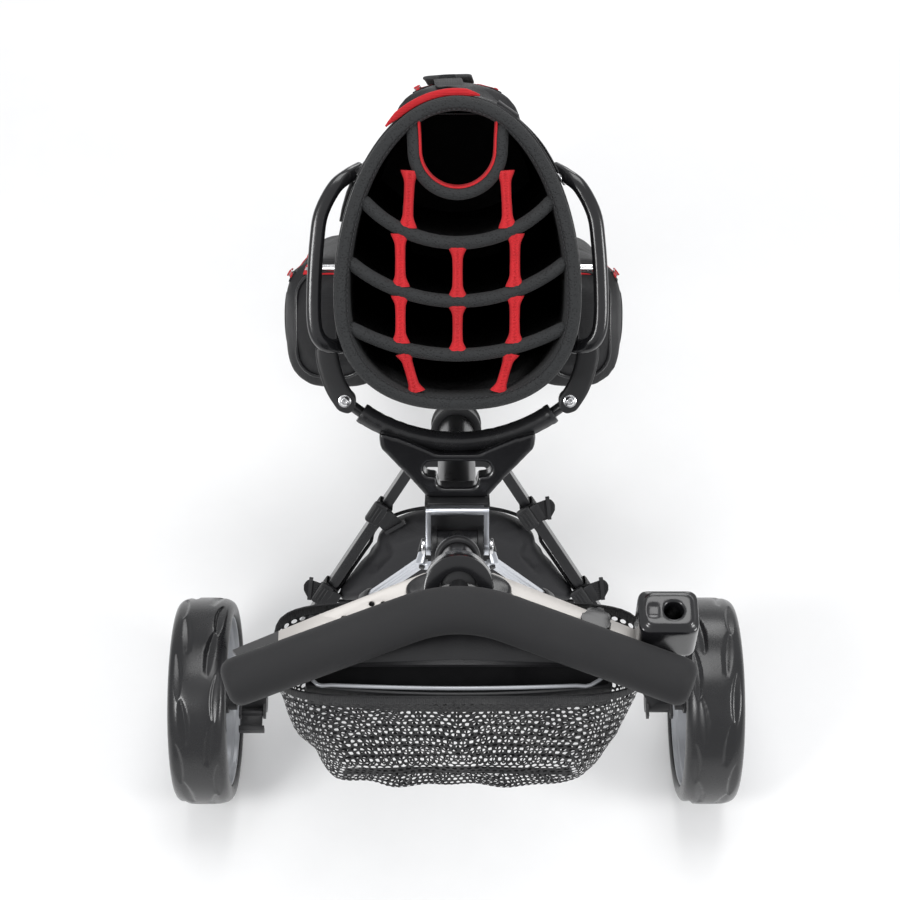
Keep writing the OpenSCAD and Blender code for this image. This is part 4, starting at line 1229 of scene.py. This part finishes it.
def pocket(name, node, outline, z_low, z_high, depth, cap, voxel=6):
    """A stuffed pocket on the bag: its outline is (x, w) points, and its ends are rounded by depth."""
    rings = []
    for k in range(13):
        s = k / 12
        z = lerp(z_low, z_high, s)
        end = min(s, 1 - s) * (z_high - z_low)
        inset = depth * (1 - math.sqrt(max(0, 1 - max(0, 1 - end / depth) ** 2)))
        cx = sum(x for x, _ in outline) / len(outline)
        cw = sum(w for _, w in outline) / len(outline)
        size = 1 - inset / 70
        rings.append([Vector((cx + (x - cx) * size, cw + (w - cw) * size, z)) for x, w in outline])
    obj = make(name, loft(rings), "nylon_black", "frame", BAG, replaces=[node], hard=80)
    inflate(obj, voxel=voxel, cap=cap)
    back = BAG.inverted()
    for v in obj.data.vertices:
        v.co = BAG @ outside_bag(back @ v.co, -4.2)
    smooth_over(obj)
    return obj


def pockets():
    metal, cloth, red, piping = [], [], [], []
    for side, out, reach in (("left", -1, 180), ("right", 1, 172)):
        outline = [(x * out, w) for x, w in rounded_rect(74, -152, reach, -14, 36, 6)]
        obj = pocket(f"pocket_{side}", f"side_pocket_{side}", outline, -554, -146, 30, 7)
        front = [Vector((out * x, w, -146)) for x, w in rounded_rect(96, -138, reach - 12, -28, 26, 6)]
        edge, ups = snapped(front, obj, (0, 0, -1), 0.8)
        piping.append(sweep(edge, circle(2.4, 10), ups, closed=True))
        seam = [(-34, z) for z in np.linspace(-180, -500, 18)]
        seam += [(w, -516) for w in np.linspace(-50, -126, 6)]
        seam += [(-136, z) for z in np.linspace(-500, -300, 10)]
        path, ups = snapped([Vector((out * 150, w, z)) for w, z in seam], obj, (-out, 0, 0), 0.6)
        tape, coil, slider, pull = zip_run(path, ups)
        cloth.append(tape)
        red.append(coil)
        metal.append(slider)
        red.append(pull)
        seam = [Vector((out * x, -26, -160)) for x in np.linspace(120, reach - 20, 8)]
        path, ups = snapped(seam, obj, (0, 0, -1), 0.7)
        tape, coil, slider, pull = zip_run(path, ups)
        red.append(tape)
        metal += [slider, pull, coil]
        n = 9
        panel = [Vector((out * 160, w, z)) for z in np.linspace(-230, -440, n)
                 for w in np.linspace(-56, -112, n)]
        placed, _ = snapped(panel, obj, (-out, 0, 0), 1.2)
        if len(placed) == n * n:
            inner = [p - Vector((out * 2.0, 0, 0)) for p in placed]
            skin = [(r * n + c, r * n + c + 1, (r + 1) * n + c + 1, (r + 1) * n + c)
                    for r in range(n - 1) for c in range(n - 1)]
            border = [c for c in range(n)] + [r * n + n - 1 for r in range(1, n)]
            border += [(n - 1) * n + c for c in range(n - 2, -1, -1)] + [r * n for r in range(n - 2, 0, -1)]
            faces = skin + [tuple(n * n + i for i in reversed(f)) for f in skin]
            faces += [(a, b, n * n + b, n * n + a) for a, b in zip(border, border[1:] + border[:1])]
            make(f"pocket_panel_{side}", (placed + inner, faces), "nylon_grey", "frame", BAG, hard=60)

    outline = rounded_rect(-66, 70, 66, 163, 38, 6)
    ball = pocket("pocket_ball", "ball_pocket", outline, -424, -124, 26, 6)
    arch = [Vector((x, w, -124)) for x, w in rounded_rect(-54, 92, 54, 152, 30, 6)]
    edge, ups = snapped(arch, ball, (0, 0, -1), 0.8)
    piping.append(sweep(edge, circle(2.2, 10), ups, closed=True))
    run = [Vector((x, 150, z)) for x, z in [(-40, z) for z in np.linspace(-170, -360, 12)]
           + [(x, -386) for x in np.linspace(-26, 26, 6)] + [(40, z) for z in np.linspace(-360, -170, 12)]]
    path, ups = snapped(run, ball, (0, -1, 0), 0.6)
    tape, coil, slider, pull = zip_run(path, ups)
    cloth.append(tape)
    red += [coil, pull]
    metal.append(slider)
    make("zip_tapes", joined(*cloth), "webbing", "frame", BAG)
    make("zip_coils", joined(*red), "red_trim", "frame", BAG)
    make("zip_sliders", joined(*metal), "steel", "frame", BAG)
    make("pocket_piping", joined(*piping), "sleeve_rubber", "frame", BAG)
    return ball


def straps(ball):
    """The shoulder strap over the ball pocket, and the two straps that hold the bag to the cart."""
    over = [Vector((x, 168, z)) for x, z in ((-6, -150), (-9, -210), (-10, -280), (-9, -350), (-6, -400))]
    laid, _ = snapped(over, ball, (0, -1, 0), 3.4)
    line = [(99, 82, -50), (82, 110, -50), (58.5, 134, -50), (29.5, 153.5, -54), (8, 164, -84)]
    line += [tuple(p) for p in laid] + [(0, 150, -446), (4, 151, -500), (6, 151.5, -560)]
    path = curve(line, 6)
    ups = [Vector((p.x * 0.9, p.y + 20, 0)).normalized() for p in path]
    make("strap_webbing", sweep(path, flat(30, 2.6), ups), "webbing", "frame", BAG,
         replaces=["shoulder_strap"])
    pad_path = path[40:58]
    wide = [(min(1, (k + 2) / 6, (len(pad_path) - k + 1) / 6), 1) for k in range(len(pad_path))]
    raised = [p + u * 2.6 for p, u in zip(pad_path, ups[40:58])]
    pad = make("strap_pad", sweep(raised, flat(54, 5.5, 28), ups[40:58], size=wide), "spacer_mesh", "frame",
               BAG)
    ring_at, ring_up = egg(math.radians(36), 4, -50), Vector((0.8, 0.6, 0))
    ring = [ring_at + Vector((9 * math.cos(a) * -0.6, 9 * math.cos(a) * 0.8, 11 * math.sin(a)))
            for a in (TAU * k / 24 for k in range(24))]
    buckle = [path[12] + ups[12] * 1.6, path[16] + ups[16] * 1.6]
    make("strap_rings", joined(sweep(ring, circle(1.8, 10), ring_up, closed=True)), "steel", "frame", BAG)
    make("strap_buckle", sweep(buckle, flat(38, 6), [ups[12], ups[16]]), "moulded_black", "frame", BAG)

    high = ([Vector((MOUTH_A + 1.6, w, -77)) for w in (-96, -70)] + egg_path(1.6, -77, 0, 180)
            + [Vector((-MOUTH_A - 1.6, w, -77)) for w in (-70, -96)])
    make("cuff_strap", sweep(high, flat(27, 2.4), outwards(high)), "webbing", "frame", BAG,
         replaces=["upper_bag_strap"])
    low = egg_path(3.8, -832, -35, 215)
    make("base_strap", sweep(low, flat(27, 2.4), outwards(low)), "webbing", "frame", BAG,
         replaces=["lower_bag_strap"])
    for name, t, d, z in (("cuff_strap_buckle", 150, 4.5, -77), ("base_strap_buckle", 60, 6.6, -832)):
        run = [egg(math.radians(t + k), d, z) for k in (-9, -5, 0, 5, 9)]
        bulge = [(0.85, 0.7), (1, 1), (0.94, 1.15), (1, 1), (0.85, 0.7)]
        make(name, sweep(run, flat(34, 6, 24), outwards(run), size=bulge), "moulded_black", "frame", BAG)


def cradle():
    """The glossy sleeve on the cradle bar that the cuff rests in."""
    tip_x, tip_w, low_w = 114.0, -149.0, -192.0
    radius = (tip_x ** 2 + (tip_w - low_w) ** 2) / (2 * (tip_w - low_w))
    half = math.asin(tip_x / radius) - math.radians(7)
    path = [Vector((radius * math.sin(a), low_w + radius - radius * math.cos(a), -70))
            for a in np.linspace(-half, half, 90)]
    sizes = [1 + 0.035 * noise.noise(Vector((k * 0.35, 1, 2))) + (0.05 if k in (1, 2, 87, 88) else 0)
             for k in range(90)]
    for side, out in (("left", -1), ("right", 1)):
        bend = ((105.5, -158), (109, -155), (114, -149), (122, -136), (128, -120), (131.5, -104),
                (131.5, -95))
        arm = curve([(x * out, w, -66) for x, w in bend], 5)
        taper = [(max(0.3, math.sqrt(min(1, (k + 0.5) / 9))) * (0.8 if k == len(arm) - 1 else 1), 1)
                 for k in range(len(arm))]
        make(f"tip_plate_{side}", sweep(arm, flat(23, 8, 32), (0, 0, 1), size=taper), "moulded_black",
             f"{side}_tip", BAG, replaces=[f"cradle_tip_{side}"])
    head = [(-79, 0.3), (-79, 5), (-62.5, 5), (-62.5, 6.4), (-61, 6.6), (-60.6, 5), (-58.6, 4.7),
            (-57.4, 3.4), (-57.4, 2.1), (-59, 2.0), (-59, 0.3)]
    head = softened(head, 0.35)
    screws = [turned(head, (x, -149, 0), 32, axis="Z") for x in (-114, 114)]
    make("cradle_screws", joined(*screws), "steel", "frame", BAG, replaces=["cradle_rivets"], hard=30)
    make("sleeve_cover", sweep(path, circle(10.2, 32), (0, 0, 1), size=sizes), "sleeve_rubber", "frame", BAG,
         replaces=["cradle_sleeve"], hard=60)


cuff()
body_shell()
mouth()
handles()
straps(pockets())
cradle()
